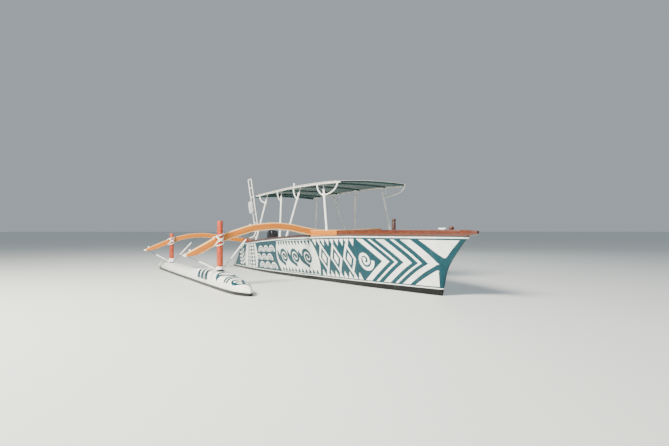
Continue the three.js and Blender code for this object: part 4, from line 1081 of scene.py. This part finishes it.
for name, sign in SIDES.items():
    for leg in LEGS:
        foot, head = leg_line(leg, sign)
        axis = head - foot
        tube = foot + np.array([0.0, 0.3, 0.6, 0.875])[:, None] * axis
        parts = [sweep(tube, ring(LEG_TUBE, 24), up=ASIDE)]
        stem = foot + np.array([0.87, 0.92, 1.0])[:, None] * axis
        parts.append(sweep(stem, ring(0.012, 14), up=ASIDE))
        half_turn = np.linspace(0.08, math.pi - 0.08, 12)
        ball = foot + 0.885 * axis - np.cos(half_turn)[:, None] * BALL * unit(axis)
        parts.append(sweep(ball, ring(BALL, 20), up=ASIDE, scale=np.sin(half_turn)))
        parts.append(collar(foot + 0.032 * axis, axis, 0.030, 0.085))
        pad = [(0.034, -0.001), (0.034, 0.005), (0.032, 0.008), (0.026, 0.010)]
        parts.append(turned(pad, BOW_X - foot[0], -foot[1], foot[2], 32))
        share = (ARM_HEIGHT - foot[2]) / axis[2]
        for reach in leg["arms"]:
            start = foot + share * axis
            end_aft = leg["foot"] + leg["lean"] * share + reach
            end_out = tube_out(end_aft)
            end = place(end_aft, sign * end_out, tube_level(end_aft, end_out))
            turn = np.linspace(0, TURN / 4, 24)[:, None]
            blend = np.concatenate([np.sin(turn), np.sin(turn), 1 - np.cos(turn)], 1)
            parts.append(sweep(start + (end - start) * blend, ring(ARM_TUBE, 16), up=ASIDE))
        parts.append(collar(foot + share * axis, axis, 0.031, 0.070))
        piece(f"canopy_leg_{leg['name']}_{name}", parts, [powder_coat],
              replaces=[f"canopy_leg_{name}_{leg['name']}"])
print("legs:", 2 * len(LEGS))

# %% [markdown]
# ** The cloth** is one piece of acrylic laced tight over the frame, so it is a single stretched
# sheet. Between the bows it sags 12 mm, and the lacing pulls its edge into small scallops. The
# sag is a squared sine of the way from bow to bow, fading out toward the side tubes. Solidify
# gives it thickness, with the grey-green underside, darkened by painted shade, as a second
# material.

# %% Canopy cloth
LACE_PITCH = 0.125
CLOTH_SAG, SCALLOP, SEATED = 0.012, 0.006, 0.003


def cloth_surface(aft, share):
    """A place on the cloth from its place aft and its share across, minus one to one."""
    pull = np.abs(np.sin(np.pi * (aft - CANOPY_FRONT) / LACE_PITCH)) * np.abs(share) ** 8
    out = share * (canopy_half(aft) - SCALLOP * pull)
    bays = np.interp(aft, BOWS, np.arange(len(BOWS)))
    sag = CLOTH_SAG * np.sin(np.pi * bays) ** 2 * (1 - np.abs(share) ** 4)
    return place(aft, out, canopy_top(aft, out) - SEATED - sag)


aft = np.linspace(CANOPY_FRONT, CANOPY_REAR, 240)
share = np.sin(np.linspace(-TURN / 4, TURN / 4, 49))
grid = cloth_surface(aft[:, None], share[None])
# A flap 60 mm long hangs down behind the last bow.
fall = np.array([[0.006, -0.004], [0.010, -0.018], [0.011, -0.038], [0.010, -0.060]])
flap = grid[-1][None] + np.stack([-fall[:, 0], 0 * fall[:, 0], fall[:, 1]], -1)[:, None]
grid = np.concatenate([grid, flap])
lengthwise = run_length(grid[:, len(share) // 2])
crosswise = run_length(grid[len(aft) // 2])
uv = np.stack(np.meshgrid(lengthwise, crosswise, indexing="ij"), -1)
# The second material, on the underside, is the cloth's grey-green darkened by painted shade.
cloth = piece("canopy_cloth_laced", [skin(grid[:, ::-1], around=False, closed=False, uv=uv)],
              [canvas, canvas_under_painted_shade], replaces=["canopy_cloth"])
layer = cloth.modifiers.new("thickness", "SOLIDIFY")
layer.thickness, layer.offset, layer.material_offset = 0.0016, -1.0, 1

# %% [markdown]
# **Hem and lacing.** White webbing edges the cloth, and a white cord winds round it and the side
# tube in a long helix, which reads from afar as a dashed white line. The helix is a circle round
# the tube's middle line that moves on by the pitch with each turn.

# %% Hem and lacing
HEM_AT, HEM_LIFT = 0.985, (0, 0, 0.0006)
LACED = (2.30, 7.12)
edges = []
for side in (-HEM_AT, HEM_AT):
    line = cloth_surface(aft, np.full(aft.shape, side))
    edges.append(sweep(line + HEM_LIFT, rounded(0.034, 0.0045, 0.002, 3)))
for end in (CANOPY_FRONT + 0.016, CANOPY_REAR - 0.012):
    across = cloth_surface(np.full(60, end), np.linspace(-HEM_AT, HEM_AT, 60))
    edges.append(sweep(across + HEM_LIFT, rounded(0.032, 0.0045, 0.002, 3)))
hem = piece("canopy_hem", edges, [white_rope])
laces = []
for sign in (-1, 1):
    run = np.arange(*LACED, LACE_PITCH / 20)
    turn = TURN * run / LACE_PITCH
    out = tube_out(run)
    # The cord stands higher over the tube, where the cloth lies between, than under it.
    lift = np.where(np.cos(turn) > 0, 0.034, 0.024) * np.cos(turn)
    wind = place(run, sign * (out + 0.029 * np.sin(turn)), tube_level(run, out) + lift)
    laces.append(sweep(wind, ring(0.0042, 8), up=(0, 0.02, 1)))
lacing = piece("canopy_lacing", laces, [white_rope])
print("lace turns a side:", round((LACED[1] - LACED[0]) / LACE_PITCH))

# %% [markdown]
# ## The boarding ladder
# The ladder is two bent tubes and seven rungs, hinged on the gunwale. It rides on its own CAD body,
# so it folds with the joint. Each tube is one path: a quarter ellipse at the heel, then straight.

# %% Ladder and fender
LADDER_AFT, LADDER_HALF, LADDER_TUBE, RUNG_PITCH = 7.50, 0.130, 0.014, 0.258
PIVOT, HEEL, HEAD = np.array([0.955, 0.968]), np.array([0.785, 1.138]), np.array([1.020, 2.713])
RUNGS = HEAD[1] - 0.016 - RUNG_PITCH * np.arange(7)


def ladder_out(height):
    """How far out the straight part of the ladder's tubes lies at a height."""
    return HEEL[0] + (height - HEEL[1]) / (HEAD[1] - HEEL[1]) * (HEAD[0] - HEEL[0])


turn = np.linspace(0, TURN / 4, 16)
bend = np.stack([HEEL[0] + (PIVOT[0] - HEEL[0]) * (1 - np.sin(turn)),
                 PIVOT[1] + (HEEL[1] - PIVOT[1]) * (1 - np.cos(turn))], -1)
upright = HEEL + np.linspace(0.02, 1, 30)[:, None] * (HEAD - HEEL)
rail = np.concatenate([bend, upright])
parts = []
for step in (-LADDER_HALF, LADDER_HALF):
    path = place(LADDER_AFT + step, rail[:, 0], rail[:, 1])
    size = np.ones(len(path))
    size[-3:] = (0.97, 0.85, 0.45)
    path[-3:] = path[-4] + np.array([0.6, 0.85, 1.0])[:, None] * (path[-1] - path[-4])
    parts.append(sweep(path, ring(LADDER_TUBE, 18), up=(1, 0, 0), scale=size))
for height in RUNGS:
    across = LADDER_AFT + np.linspace(-LADDER_HALF, LADDER_HALF, 9)
    parts.append(sweep(place(across, ladder_out(height), height), ring(0.012, 16)))
for half, radius, slot in ((0.148, 0.014, 0), (0.166, 0.009, 1)):
    axle = place(LADDER_AFT + np.linspace(-half, half, 9), *PIVOT)
    parts.append(sweep(axle, ring(radius, 18), slot=slot))
piece("boarding_ladder", parts, [powder_coat, steel], body="ladder",
      replaces=["ladder"])

lean = unit(HEAD - HEEL)
FENDER_AFT, FENDER_HEIGHT, FENDER_OFF = LADDER_AFT - 0.084, 1.870, 0.0965
middle_out = ladder_out(FENDER_HEIGHT) + FENDER_OFF * lean[1]
middle_up = FENDER_HEIGHT - FENDER_OFF * lean[0]
bulge = [(0.012, 0.190), (0.024, 0.188), (0.044, 0.180), (0.062, 0.168), (0.076, 0.148),
         (0.083, 0.118), (0.084, 0.080), (0.083, 0.0)]
outline = [(r, -h) for r, h in bulge] + bulge[-2::-1]
axis = np.array([0.0, -lean[0], lean[1]])
bladder = turned(outline, FENDER_AFT, middle_out, middle_up, 48, axis=axis)
piece("fender_hung", [bladder], [vinyl], body="ladder", replaces=["fender"],
      crease=60)

# The fender's line runs straight up from its eye and takes two turns round the third rung.
start = place(FENDER_AFT, middle_out, middle_up) + 0.186 * axis
hold = place(FENDER_AFT + 0.01, ladder_out(RUNGS[2]), RUNGS[2])
turn = np.linspace(0, 2 * TURN, 48)
coil = hold + np.stack([0.012 * np.linspace(-1, 1, 48), -0.018 * np.cos(turn),
                        -0.018 * np.sin(turn)], -1)
lanyard = np.concatenate([start + np.linspace(0, 0.9, 10)[:, None] * (coil[0] - start), coil])
piece("fender_lanyard", [sweep(lanyard, ring(0.0035, 8), up=(1, 0.02, 0.3))], [white_rope],
      body="ladder")
print("rungs:", len(RUNGS), "fender middle:", round(middle_out, 3), round(middle_up, 3))

# %% [markdown]
# ## The outboard motor
# Its cowling is moulded plastic with soft corners: level rings, each a superellipse, whose size
# follows a short table of heights. A shallow groove marks where the lid parts from the tray.

# %% Cowling and leg
# Columns: height, middle aft, half-length, half-breadth
COWLING = np.array([
    [836.3, 8246, 128, 104], [872, 8246, 176, 136], [960, 8244, 206, 158], [1080, 8240, 204, 154],
    [1160, 8230, 184, 134], [1196, 8222, 140, 98], [1204, 8220, 70, 48]]) / 1000
CASING = np.array([
    [-320, 8252, 78, 26], [0, 8246, 74, 36], [400, 8240, 62, 52], [700, 8240, 62, 60],
    [806, 8240, 70, 72], [836, 8240, 116, 92]]) / 1000
GROOVE = 0.004


def ringed(table, heights, count, groove=None):
    """Level rings: the superellipse's two parts, to the power of 0.7, times the half-length and
    half-breadth that the table gives for the height. A groove is a bell-shaped dent."""
    ahead, across = superellipse(np.arange(count) * TURN / count, 0.7)
    middle, long, wide = (along(table, k, heights)[:, None] for k in (1, 2, 3))
    if groove is not None:
        dent = GROOVE * np.exp(-(((heights - groove) / GROOVE) ** 2))[:, None]
        long, wide = long - dent, wide - dent
    return skin(place(middle + long * ahead, wide * across, heights[:, None]))


crown = 1.204 - 0.022 * (1 - np.linspace(0, 1, 14)) ** 2
heights = np.concatenate([np.linspace(0.8363, 0.886, 14), np.linspace(0.887, 0.911, 25),
                          np.linspace(0.92, 1.18, 34), crown])
lid = ringed(COWLING, heights, 72, groove=0.899)
latch = sweep(place(np.array([8.444, 8.452, 8.456]), 0.0, 0.905),
              rounded(0.052, 0.034, 0.010, 4), scale=[1, 1, 0.8], slot=1)
piece("motor_cowling_moulded", [lid, latch], [moulded, casting], body="motor",
      replaces=["motor_cowling"])

shaft = turned([(0.0152, -0.16), (0.0152, 0.20)], 8.13, 0.0, 0.60, 28)
arms = [sweep(place(np.linspace(8.095, 8.24, 6), 0.0, z), rounded(0.072, t, 0.008, 4))
        for z, t in ((0.7992, 0.0374), (0.4508, 0.0374))]
casing_skin = ringed(CASING, np.linspace(-0.32, 0.836, 60), 56)
plate_out = np.concatenate([[0.045, 0.085, 0.095, 0.095], np.full(6, 0.095), [0.085, 0.05]])
plate_aft = np.concatenate([[8.156, 8.162, 8.176, 8.19], np.linspace(8.21, 8.37, 6), [8.392, 8.40]])
plate_edge = np.concatenate([plate_out, -plate_out[::-1]])
plate = place(np.append(plate_aft, plate_aft[::-1])[None], plate_edge[None],
              np.array([[-0.142], [-0.139], [-0.133], [-0.130]]))
torpedo = turned([(0.004, 0.11), (0.014, 0.1085), (0.026, 0.094), (0.038, 0.066), (0.045, 0.03),
                  (0.046, 0.0), (0.046, -0.148), (0.040, -0.150)], 8.19, 0.0, -0.33, 40,
                 axis=(1, 0, 0))
# The fin below: places aft, half-widths and heights of its four corners.
fin_aft, fin_half, fin_up = np.array([(8.18, 0.008, -0.355), (8.31, 0.008, -0.355),
                                      (8.324, 0.002, -0.52), (8.286, 0.002, -0.526)]).T
fin = place(fin_aft, np.stack([fin_half, -fin_half]), fin_up)
piece("motor_leg_cast", [shaft, *arms, casing_skin, skin(plate), torpedo, skin(fin)],
      [casting], body="motor", replaces=["motor_leg"])
print("cowling height:", round(heights[-1] - heights[0], 3))

# %% [markdown]
# **Propeller.** A blade is a lens-shaped section that grows and shrinks along the radius while it
# twists: near the hub it lies almost along the shaft, and the angle is that whose tangent is the
# pitch over the way round at that radius. Three copies are turned a third of a circle apart.

# %% Propeller
PITCH, HUB_AFT, HUB_HEIGHT = 0.30, 8.376, -0.33
ROOT, TIP, HALF_CHORD, HALF_THICK = 0.024, 0.1285, 0.046, 0.0035
radius = np.linspace(ROOT, TIP, 20)[:, None]
span = (radius - ROOT) / (TIP - ROOT)
chord = HALF_CHORD * np.sqrt(np.clip(1 - (2.0 * span - 0.9) ** 2 / 1.25, 0.004, 1))
lens = np.concatenate([np.linspace(-1, 1, 13), np.linspace(1, -1, 13)[1:-1]])[None]
face = np.where(np.arange(lens.size) < 13, 1.0, -1.0) * (1 - lens ** 2)
slant = np.arctan(PITCH / (TURN * radius))
along_x = chord * lens * np.sin(slant) + HALF_THICK * face * np.cos(slant)
sideways = chord * lens * np.cos(slant) - HALF_THICK * face * np.sin(slant)
hub = [(0.018, -0.034), (0.026, -0.033), (0.029, -0.020), (0.030, 0.0), (0.030, 0.033),
       (0.028, 0.0353)]
parts = [turned(hub, HUB_AFT, 0.0, HUB_HEIGHT, 32, axis=(1, 0, 0))]
for angle in np.arange(3) * TURN / 3:
    y = radius * math.cos(angle) - sideways * math.sin(angle)
    z = radius * math.sin(angle) + sideways * math.cos(angle)
    parts.append(skin(place(HUB_AFT - along_x, -y, HUB_HEIGHT + z)))
piece("propeller_polished", parts, [steel], body="propeller",
      replaces=["propeller"])
print("propeller diameter:", 2 * TIP)

# %% [markdown]
# ## Fittings
# Small things on deck: a white cleat on a block, a turned mooring bollard, a turned chock behind
# the prow, an all-round light on the canopy's edge, pad eyes and a rope band on the float.

# %% Bow cleat, bollard, chock, light and float fittings
DECK = 1.0603
base = sweep(place(np.linspace(-0.05, 0.05, 6), 0.0, DECK + 0.053), rounded(0.068, 0.108, 0.010))
# The horns rise by a square law and are round-ended.
horn_aft = np.linspace(-0.105, 0.105, 30)
horn = place(horn_aft, 0.0, DECK + 0.138 + 0.9 * horn_aft ** 2)
size = np.sqrt(np.clip(1 - (np.abs(horn_aft) / 0.107) ** 4, 0.02, 1))
necks = [turned([(0.030, -0.034), (0.018, -0.026), (0.015, 0.0), (0.016, 0.008)], a, 0.0,
                DECK + 0.134, 24) for a in (-0.032, 0.032)]
piece("bow_cleat_cast", [base, sweep(horn, ring(0.016, 18), scale=size), *necks],
      [white_enamel], replaces=["bow_cleat"])

spar = [(0.038, 0.0), (0.038, 0.02), (0.036, 0.262), (0.034, 0.268), (0.031, 0.276),
        (0.031, 0.284), (0.036, 0.293), (0.039, 0.302), (0.039, 0.334), (0.036, 0.346),
        (0.030, 0.353), (0.004, 0.356)]
piece("bow_bollard_turned", [turned(spar, 1.5, 0.0, DECK, 48)], [dark_mahogany_painted_shade],
      replaces=["bow_bollard"])
chock = [(0.048, 0.0), (0.046, 0.008), (0.040, 0.05), (0.036, 0.10), (0.037, 0.122), (0.044, 0.134),
         (0.045, 0.158), (0.040, 0.170), (0.030, 0.178), (0.004, 0.180)]
piece("bow_chock_turned", [turned(chock, -0.25, 0.0, DECK, 40)], [mahogany],
      replaces=["bow_chock"])

light_aft, light_out = 4.55, 0.88
seat = float(canopy_top(light_aft, light_out)) - SEATED
lamp = [(0.032, 0.0), (0.032, 0.012), (0.028, 0.017), (0.014, 0.019), (0.013, 0.050),
        (0.019, 0.054), (0.020, 0.084), (0.017, 0.093), (0.003, 0.096)]
piece("canopy_light_turned", [turned(lamp, light_aft, light_out, seat, 32)], [white_enamel],
      replaces=["canopy_light"])


def pad_eye(aft, out, base):
    """A low plate with a hoop on it: a small turned foot and half a ring."""
    foot = turned([(0.030, -0.004), (0.030, 0.004), (0.026, 0.006)], aft, out, base, 20)
    turn = np.linspace(0, math.pi, 14)
    hoop = place(aft + 0.018 * np.cos(turn), out, base + 0.004 + 0.022 * np.sin(turn))
    return [foot, sweep(hoop, ring(0.0045, 10), up=(0, 1, 0))]


eyes = [part for a in (2.05, 4.30, 7.35, 9.00) for part in pad_eye(
    a, FLOAT_OUT, float(along(FLOAT, TOP, a)))]
piece("float_pad_eyes", eyes, [powder_coat])
front = BEAMS["front"]
top = float(along(front["line"], 1, 2.37)) + front["depth"] / 2
piece("crossbeam_pad_eye", pad_eye(beam_aft(front), 2.37, top), [powder_coat])
turn = np.arange(90) * TURN / 90
bands = []
for a in 9.22 + 0.0125 * np.arange(4):
    line = float_point(np.full(90, a), turn, 0.004)
    outward = unit(line - line.mean(0)) + (0.001, 0, 0)
    bands.append(sweep(line, ring(0.006, 10), up=outward, loop=True))
piece("float_rope_band", bands, [olive_rope])
print("fittings done")

# %% [markdown]
# ## The painted design
# White and teal shapes cover both sides of the hull: chevrons at the bow, then bands of lozenges,
# running spirals, scallops, lattice and leaves, all traditional ornament. Each shape is a strip of
# points on a flat plan of the side, run aft by height. The plan is then laid on the planks, and
# each coat of paint lies a little farther out than the one before, so that no two coats touch.

# %% Shapes for the painted design
CELL = 0.07


def between(left, right):
    """A strip between two edge lines, both divided at the same shares of their lengths."""
    edges = [np.asarray(edge, float) for edge in (left, right)]
    lines = [run_length(edge) for edge in edges]
    shares = [line / line[-1] for line in lines]
    even = np.linspace(0, 1, 2 + int(max(line[-1] for line in lines) / CELL))
    at = np.unique(np.round(np.concatenate([*shares, even]), 4))
    low, high = (np.stack([np.interp(at, share, edge[:, k]) for k in (0, 1)], -1)[:, None]
                 for share, edge in zip(shares, edges))
    over = np.linspace(0, 1, 2 + int(np.linalg.norm(high - low, axis=-1).max() / CELL))[:, None]
    return low + (high - low) * over


def stroke(path, width, cell=0.05):
    """A brush stroke: edges half the width to either side of a path, whose width may change."""
    path = np.asarray(path, float)
    line = run_length(path)
    at = np.unique(np.round(np.append(line, np.linspace(0, line[-1], 2 + int(line[-1] / cell))), 4))
    path = np.stack([np.interp(at, line, path[:, k]) for k in (0, 1)], -1)
    half = np.interp(at, np.linspace(0, line[-1], np.size(width)), np.atleast_1d(width)) / 2
    ahead = unit(np.gradient(path, axis=0))
    side = half[:, None] * np.stack([-ahead[:, 1], ahead[:, 0]], -1)
    return np.stack([path - side, path + side], 1)


def arc(middle, radius, start, end, count=24):
    """Points on a circle from one turn to another, or on a spiral between two radii."""
    turn = np.linspace(start, end, count) * TURN
    size = np.linspace(*np.broadcast_to(radius, 2), count)[:, None]
    return np.asarray(middle) + size * np.stack([np.cos(turn), np.sin(turn)], -1)


def dot(middle, wide, high):
    """A filled oval between its lower and its upper half, with half-sizes wide and high."""
    halves = (arc((0, 0), 1, 0.49 * sign, 0.01 * sign, 15) * (wide, high) for sign in (-1, 1))
    return between(*(np.asarray(middle) + half for half in halves))


def lozenge(middle, wide, high):
    """A four-cornered shape with half-sizes wide and high and blunt ends."""
    sides = ([(-wide, 0.004 * k), (0, high * k), (wide, 0.004 * k)] for k in (-1, 1))
    return between(*(np.asarray(middle) + side for side in sides))


def triangle(left, right, tip):
    """A three-cornered shape on a base from left to right, blunt at its tip."""
    left, right, tip = (np.asarray(point, float) for point in (left, right, tip))
    return between([left, tip + 0.03 * (left - right)], [right, tip + 0.03 * (right - left)])


def leaf(start, end, fat, bend=0.0):
    """A leaf from start to end: each edge is a parabola, bend shifts both to one side."""
    start, end = (np.asarray(point, float) for point in (start, end))
    share = np.linspace(0.02, 0.98, 11)[:, None]
    side = np.array([start[1] - end[1], end[0] - start[0]])
    bulge = 4 * share * (1 - share) * side
    return between(*(start + share * (end - start) + (bend + k * fat) * bulge for k in (-1, 1)))


def bowed(at, bulge, low=0.02, high=0.90):
    """A line up the side whose middle is shifted aft by the bulge."""
    up = np.linspace(low, high, 13)
    return np.stack([at + bulge * (1 - (2 * (up - low) / (high - low) - 1) ** 2), up], -1)


def spiral(middle, radius, start, turns, width):
    """A tapering stroke that winds inward and ends in a dot."""
    path = arc(middle, (radius, 0.16 * radius), start, start + turns, int(26 * abs(turns)))
    return [stroke(path, (width, 0.6 * width), 0.03), dot(path[-1], 0.55 * width, 0.55 * width)]


PLAN_LONG, PLAN_HIGH, PLAN_GAP = 9.2, 0.97, 0.004
# How far forward the stem lies at rising heights.
STEM = np.array([[0, 0], [0.14, -0.04], [0.42, -0.12], [0.59, -0.22], [0.82, -0.42], [1.0, -0.60],
                 [1.052, -0.68]])


def on_side(sign, flat, lift):
    """Lays the plan on the side. Its height runs from the white line to the sheer, and its ends are
    slanted to follow the stem and the transom, by a shift that fades with the square of the way."""
    run, share = np.clip(flat[..., 0], -0.03, PLAN_LONG - 0.01), flat[..., 1] / PLAN_HIGH
    aft = run
    # The height depends on the place aft and the shift on the height, so they are worked out by
    # turns until they settle.
    for _ in range(4):
        low = BOOT_FOOT + BOOT_SLOPE * (BOW_X - aft) + BOOT_WIDTH + PLAN_GAP
        height = low + share * (along(HULL, SHEER, aft) - PLAN_GAP - low)
        ahead = np.interp(height, *STEM.T) * np.clip(1 - run / 2, 0, 1) ** 2
        behind = transom_aft(height) - PLAN_LONG
        aft = run + ahead + behind * np.clip((run - PLAN_LONG) / 2 + 1, 0, 1) ** 2
    return place(aft, sign * (side_out(aft, height) + lift), height)


def on_float(flat, lift):
    """Lays a plan of (place aft, girth) on the float, with its girth measured round the skin from
    the black paint's edge on the outboard side, up and over the deck."""
    made = []
    points = flat.reshape(-1, 2)
    around = np.linspace(-0.1, 0.55, 131) * TURN
    outboard = around < 0.098 * TURN
    for girth, line in zip(points[:, 1], float_point(points[:, :1], around[None], lift)):
        length = run_length(line)
        start = np.interp(FLOAT_LINE + 0.012, line[outboard, 2], length[outboard])
        made.append([np.interp(start + girth, length, line[:, k]) for k in range(3)])
    return np.array(made).reshape(*flat.shape[:-1], 3)


def finer(shape, parts):
    """The same strip with every cell divided into equal parts both ways, so it bends closely."""
    for axis in (0, 1):
        at = np.arange((shape.shape[axis] - 1) * parts + 1) / parts
        low = np.minimum(at.astype(int), shape.shape[axis] - 2)
        share = (at - low).reshape((-1, 1, 1) if axis == 0 else (1, -1, 1))
        shape = np.take(shape, low, axis) * (1 - share) + np.take(shape, low + 1, axis) * share
    return shape


COAT = 0.0005


def painted(name, shapes, lays, lift, material, parts):
    """One coat of paint: every shape, as each of the lays puts it on the boat, is a closed layer of
    paint with its outer face at the lift."""
    skins = []
    for shape in (finer(shape, parts) for shape in shapes):
        for lay in lays:
            layers = [lay(shape, lift), lay(shape, lift - COAT)[:, ::-1]]
            skins.append(skin(np.concatenate(layers, 1)))
    piece(name, skins, [material], crease=30)
    print(name, "shapes:", len(skins))


# %% [markdown]
# **The hull's coats.** White fields lie on the teal hull, teal figures on them and white details
# on those.

# %% Paint the design on the hull
fields = [stroke([(-0.03, 0.945), (PLAN_LONG, 0.945)], 0.028)]
figures, details = [], []
# Chevrons at the bow, wide and narrow by turns.
for tip, wide in ((0.13, 0.18), (0.43, 0.07), (0.63, 0.18), (0.94, 0.07), (1.14, 0.18)):
    edge = np.array([(tip + 0.58, 0.02), (tip, 0.45), (tip + 0.58, 0.90)])
    fields.append(between(edge, edge + (wide, 0)))
fields.append(triangle((0.05, 0.90), (0.58, 0.90), (0.11, 0.57)))
fields.append(triangle((0.58, 0.02), (0.05, 0.02), (0.11, 0.33)))
# White lozenges on the teal ground, with a spiral ahead of them and teeth above and below.
fields += spiral((1.78, 0.45), 0.21, 0.5, 1.6, 0.085)
for at in (2.28, 2.74, 3.20):
    fields.append(lozenge((at, 0.46), 0.215, 0.36))
    figures.append(lozenge((at, 0.46), 0.145, 0.245))
    details.append(lozenge((at, 0.46), 0.080, 0.135))
for k in range(9):
    at = 1.98 + 0.17 * k
    fields.append(triangle((at, 0.90), (at + 0.15, 0.90), (at + 0.075, 0.75)))
    fields.append(triangle((at + 0.15, 0.02), (at, 0.02), (at + 0.075, 0.17)))
# Teal running spirals on a white field, each with a tail, and bold teeth above and below.
fields.append(between(bowed(3.60, -0.14), bowed(5.46, 0.16)))
for at in (3.94, 4.53, 5.14):
    figures += spiral((at, 0.46), 0.235, 0.75, 1.7, 0.105)
    figures.append(leaf((at + 0.16, 0.24), (at + 0.38, 0.66), 0.17, -0.10))
for k in range(11):
    at = 3.62 + 0.165 * k
    figures.append(triangle((at, 0.885), (at + 0.14, 0.885), (at + 0.07, 0.755)))
    figures.append(triangle((at + 0.14, 0.035), (at, 0.035), (at + 0.07, 0.155)))
# White scallops in rows on the teal ground, each of two arcs over a leaf.
for row in range(3):
    for at in np.arange(5.90 + 0.21 * (row % 2), 7.0, 0.42):
        middle = (at, 0.05 + 0.27 * row)
        fields.append(stroke(arc(middle, 0.185, 0.0, 0.5, 17), 0.050, 0.03))
        fields.append(stroke(arc(middle, 0.110, 0.0, 0.5, 13), 0.030, 0.03))
        fields.append(leaf((at, middle[1]), (at, middle[1] + 0.085), 0.30))
# Upright lines, teeth and a lattice on a white field.
fields.append(between(bowed(7.19, -0.12), bowed(8.13, 0.10)))
for at in (7.32, 7.62, 7.92):
    figures.append(stroke(bowed(at, -0.02, 0.03, 0.89), 0.045))
for up in np.arange(0.05, 0.80, 0.14):
    figures.append(triangle((7.345, up), (7.345, up + 0.125), (7.46, up + 0.062)))
    figures.append(triangle((7.58, up + 0.125), (7.58, up), (7.47, up + 0.062)))
    figures.append(lozenge((7.76, up + 0.062), 0.115, 0.062))
    details.append(lozenge((7.76, up + 0.062), 0.050, 0.027))
# A white sprig of leaves on the teal ground toward the transom.
stem = np.array([(8.36, 0.05), (8.50, 0.28), (8.68, 0.52), (8.92, 0.86)])
fields.append(stroke(stem, (0.060, 0.03)))
share = np.linspace(0.2, 2.8, 5)
for at, up in np.stack([np.interp(share, range(4), column) for column in stem.T], -1):
    fields.append(leaf((at - 0.03, up + 0.02), (at - 0.19, up + 0.20), 0.21, 0.06))
    fields.append(leaf((at + 0.05, up - 0.01), (at + 0.29, up + 0.03), 0.20, 0.06))
fields.append(stroke(bowed(9.12, 0.0), 0.06))
both = [partial(on_side, sign) for sign in SIDES.values()]
painted("hull_design_fields", fields, both, 0.0012, white_enamel, 2)
painted("hull_design_figures", figures, both, 0.0022, teal_enamel, 2)
painted("hull_design_details", details, both, 0.0032, white_enamel, 2)

# %% [markdown]
# **The float's coats.** Teal figures lie on its white paint toward the bow, from the outboard side
# over the deck: a round with rays, lozenges, strokes and teeth.

# %% Paint the design on the float
figures, details = [dot((1.98, 0.30), 0.26, 0.21)], []
for turn in np.arange(6) / 6:
    ray = arc((0, 0), 1, turn - 0.05, turn + 0.05, 2) * (0.21, 0.16)
    details.append(triangle(*((1.98, 0.30) + ray), (1.98, 0.30) + 0.3 * ray.mean(0)))
for at in (2.32, 2.44):
    figures.append(stroke([(at, 0.10), (at + 0.14, 0.38), (at, 0.66)], 0.07))
figures.append(lozenge((2.92, 0.42), 0.30, 0.34))
details.append(lozenge((2.92, 0.42), 0.17, 0.19))
figures.append(lozenge((3.30, 0.42), 0.05, 0.34))
for at in (3.58, 3.88, 4.18):
    figures.append(triangle((at + 0.26, 0.06), (at, 0.06), (at + 0.13, 0.44)))
    figures.append(triangle((at, 0.78), (at + 0.26, 0.78), (at + 0.13, 0.52)))
painted("float_design_figures", figures, [on_float], 0.0018, teal_enamel, 4)
painted("float_design_details", details, [on_float], 0.0032, white_enamel, 4)

# %% [markdown]
# ## Stage, light and camera
# The floor lies at the waterline, so the boat sits in it as it does in water. One large soft light
# stands high on the camera's left, a weaker one fills in from the right, a third lights the boat
# from behind, and a pale sky does the rest.

# %% Floor and lights
# The floor ends beyond what the eye can tell from a horizon.
FAR = 2000.0
plane = bpy.data.meshes.new("water_level_floor")
plane.from_pydata([(-FAR, -FAR, 0), (FAR, -FAR, 0), (FAR, FAR, 0), (-FAR, FAR, 0)], [],
                  [(0, 1, 2, 3)])
floor = bpy.data.objects.new("water_level_floor", plane)
bpy.context.scene.collection.objects.link(floor)
ground, _, shader = finish("pale_plain_floor", Roughness=0.55)
shader.inputs["Base Color"].default_value = linear("D6DCDA")
plane.materials.append(ground)

world = bpy.data.worlds.new("soft_sky")
bpy.context.scene.world = world
world.use_nodes = True
sky = world.node_tree.nodes["Background"]
sky.inputs["Color"].default_value = linear("DDE8F0")
sky.inputs["Strength"].default_value = 0.50


def lamp_from(name, start, target, power, size, hue):
    """A square area light at a place, aimed at a target."""
    data = bpy.data.lights.new(name, "AREA")
    data.energy, data.size, data.color = power, size, linear(hue)[:3]
    made = bpy.data.objects.new(name, data)
    made.location = start
    aim = mathutils.Vector(target) - mathutils.Vector(start)
    made.rotation_mode = "QUATERNION"
    made.rotation_quaternion = aim.to_track_quat("-Z", "Y")
    bpy.context.scene.collection.objects.link(made)


lamp_from("key_sun", (6.0, -13.0, 11.0), (0.0, -1.0, 0.6), 9500.0, 5.0, "FFF6E8")
lamp_from("fill_sky", (14.0, 6.0, 8.0), (0.0, 0.0, 0.6), 350.0, 8.0, "E6F0FF")
lamp_from("back_sky", (-11.0, 7.0, 10.0), (0.0, 0.0, 0.6), 600.0, 8.0, "F2F6FF")
print("lights: 3")

# %% [markdown]
# **Camera.** The photo was taken from a little ahead of the bow, 1.15 m above the water. Its lens,
# place and direction were solved from the picture's horizon and the boat's known lengths.

# %% Camera
HEADING, PITCH_UP = (-0.88, 0.474), math.radians(0.94)
data = bpy.data.cameras.new("photo_view")
data.sensor_width, data.lens = 36.0, 27.98
camera = bpy.data.objects.new("photo_view", data)
camera.location = (12.045, -6.12, 1.15)
level = math.cos(PITCH_UP)
look = mathutils.Vector((HEADING[0] * level, HEADING[1] * level, math.sin(PITCH_UP)))
camera.rotation_mode = "QUATERNION"
camera.rotation_quaternion = look.to_track_quat("-Z", "Y")
data.clip_start, data.clip_end = 0.1, 6000.0
bpy.context.scene.collection.objects.link(camera)
bpy.context.scene.camera = camera
print("camera height:", camera.location.z)
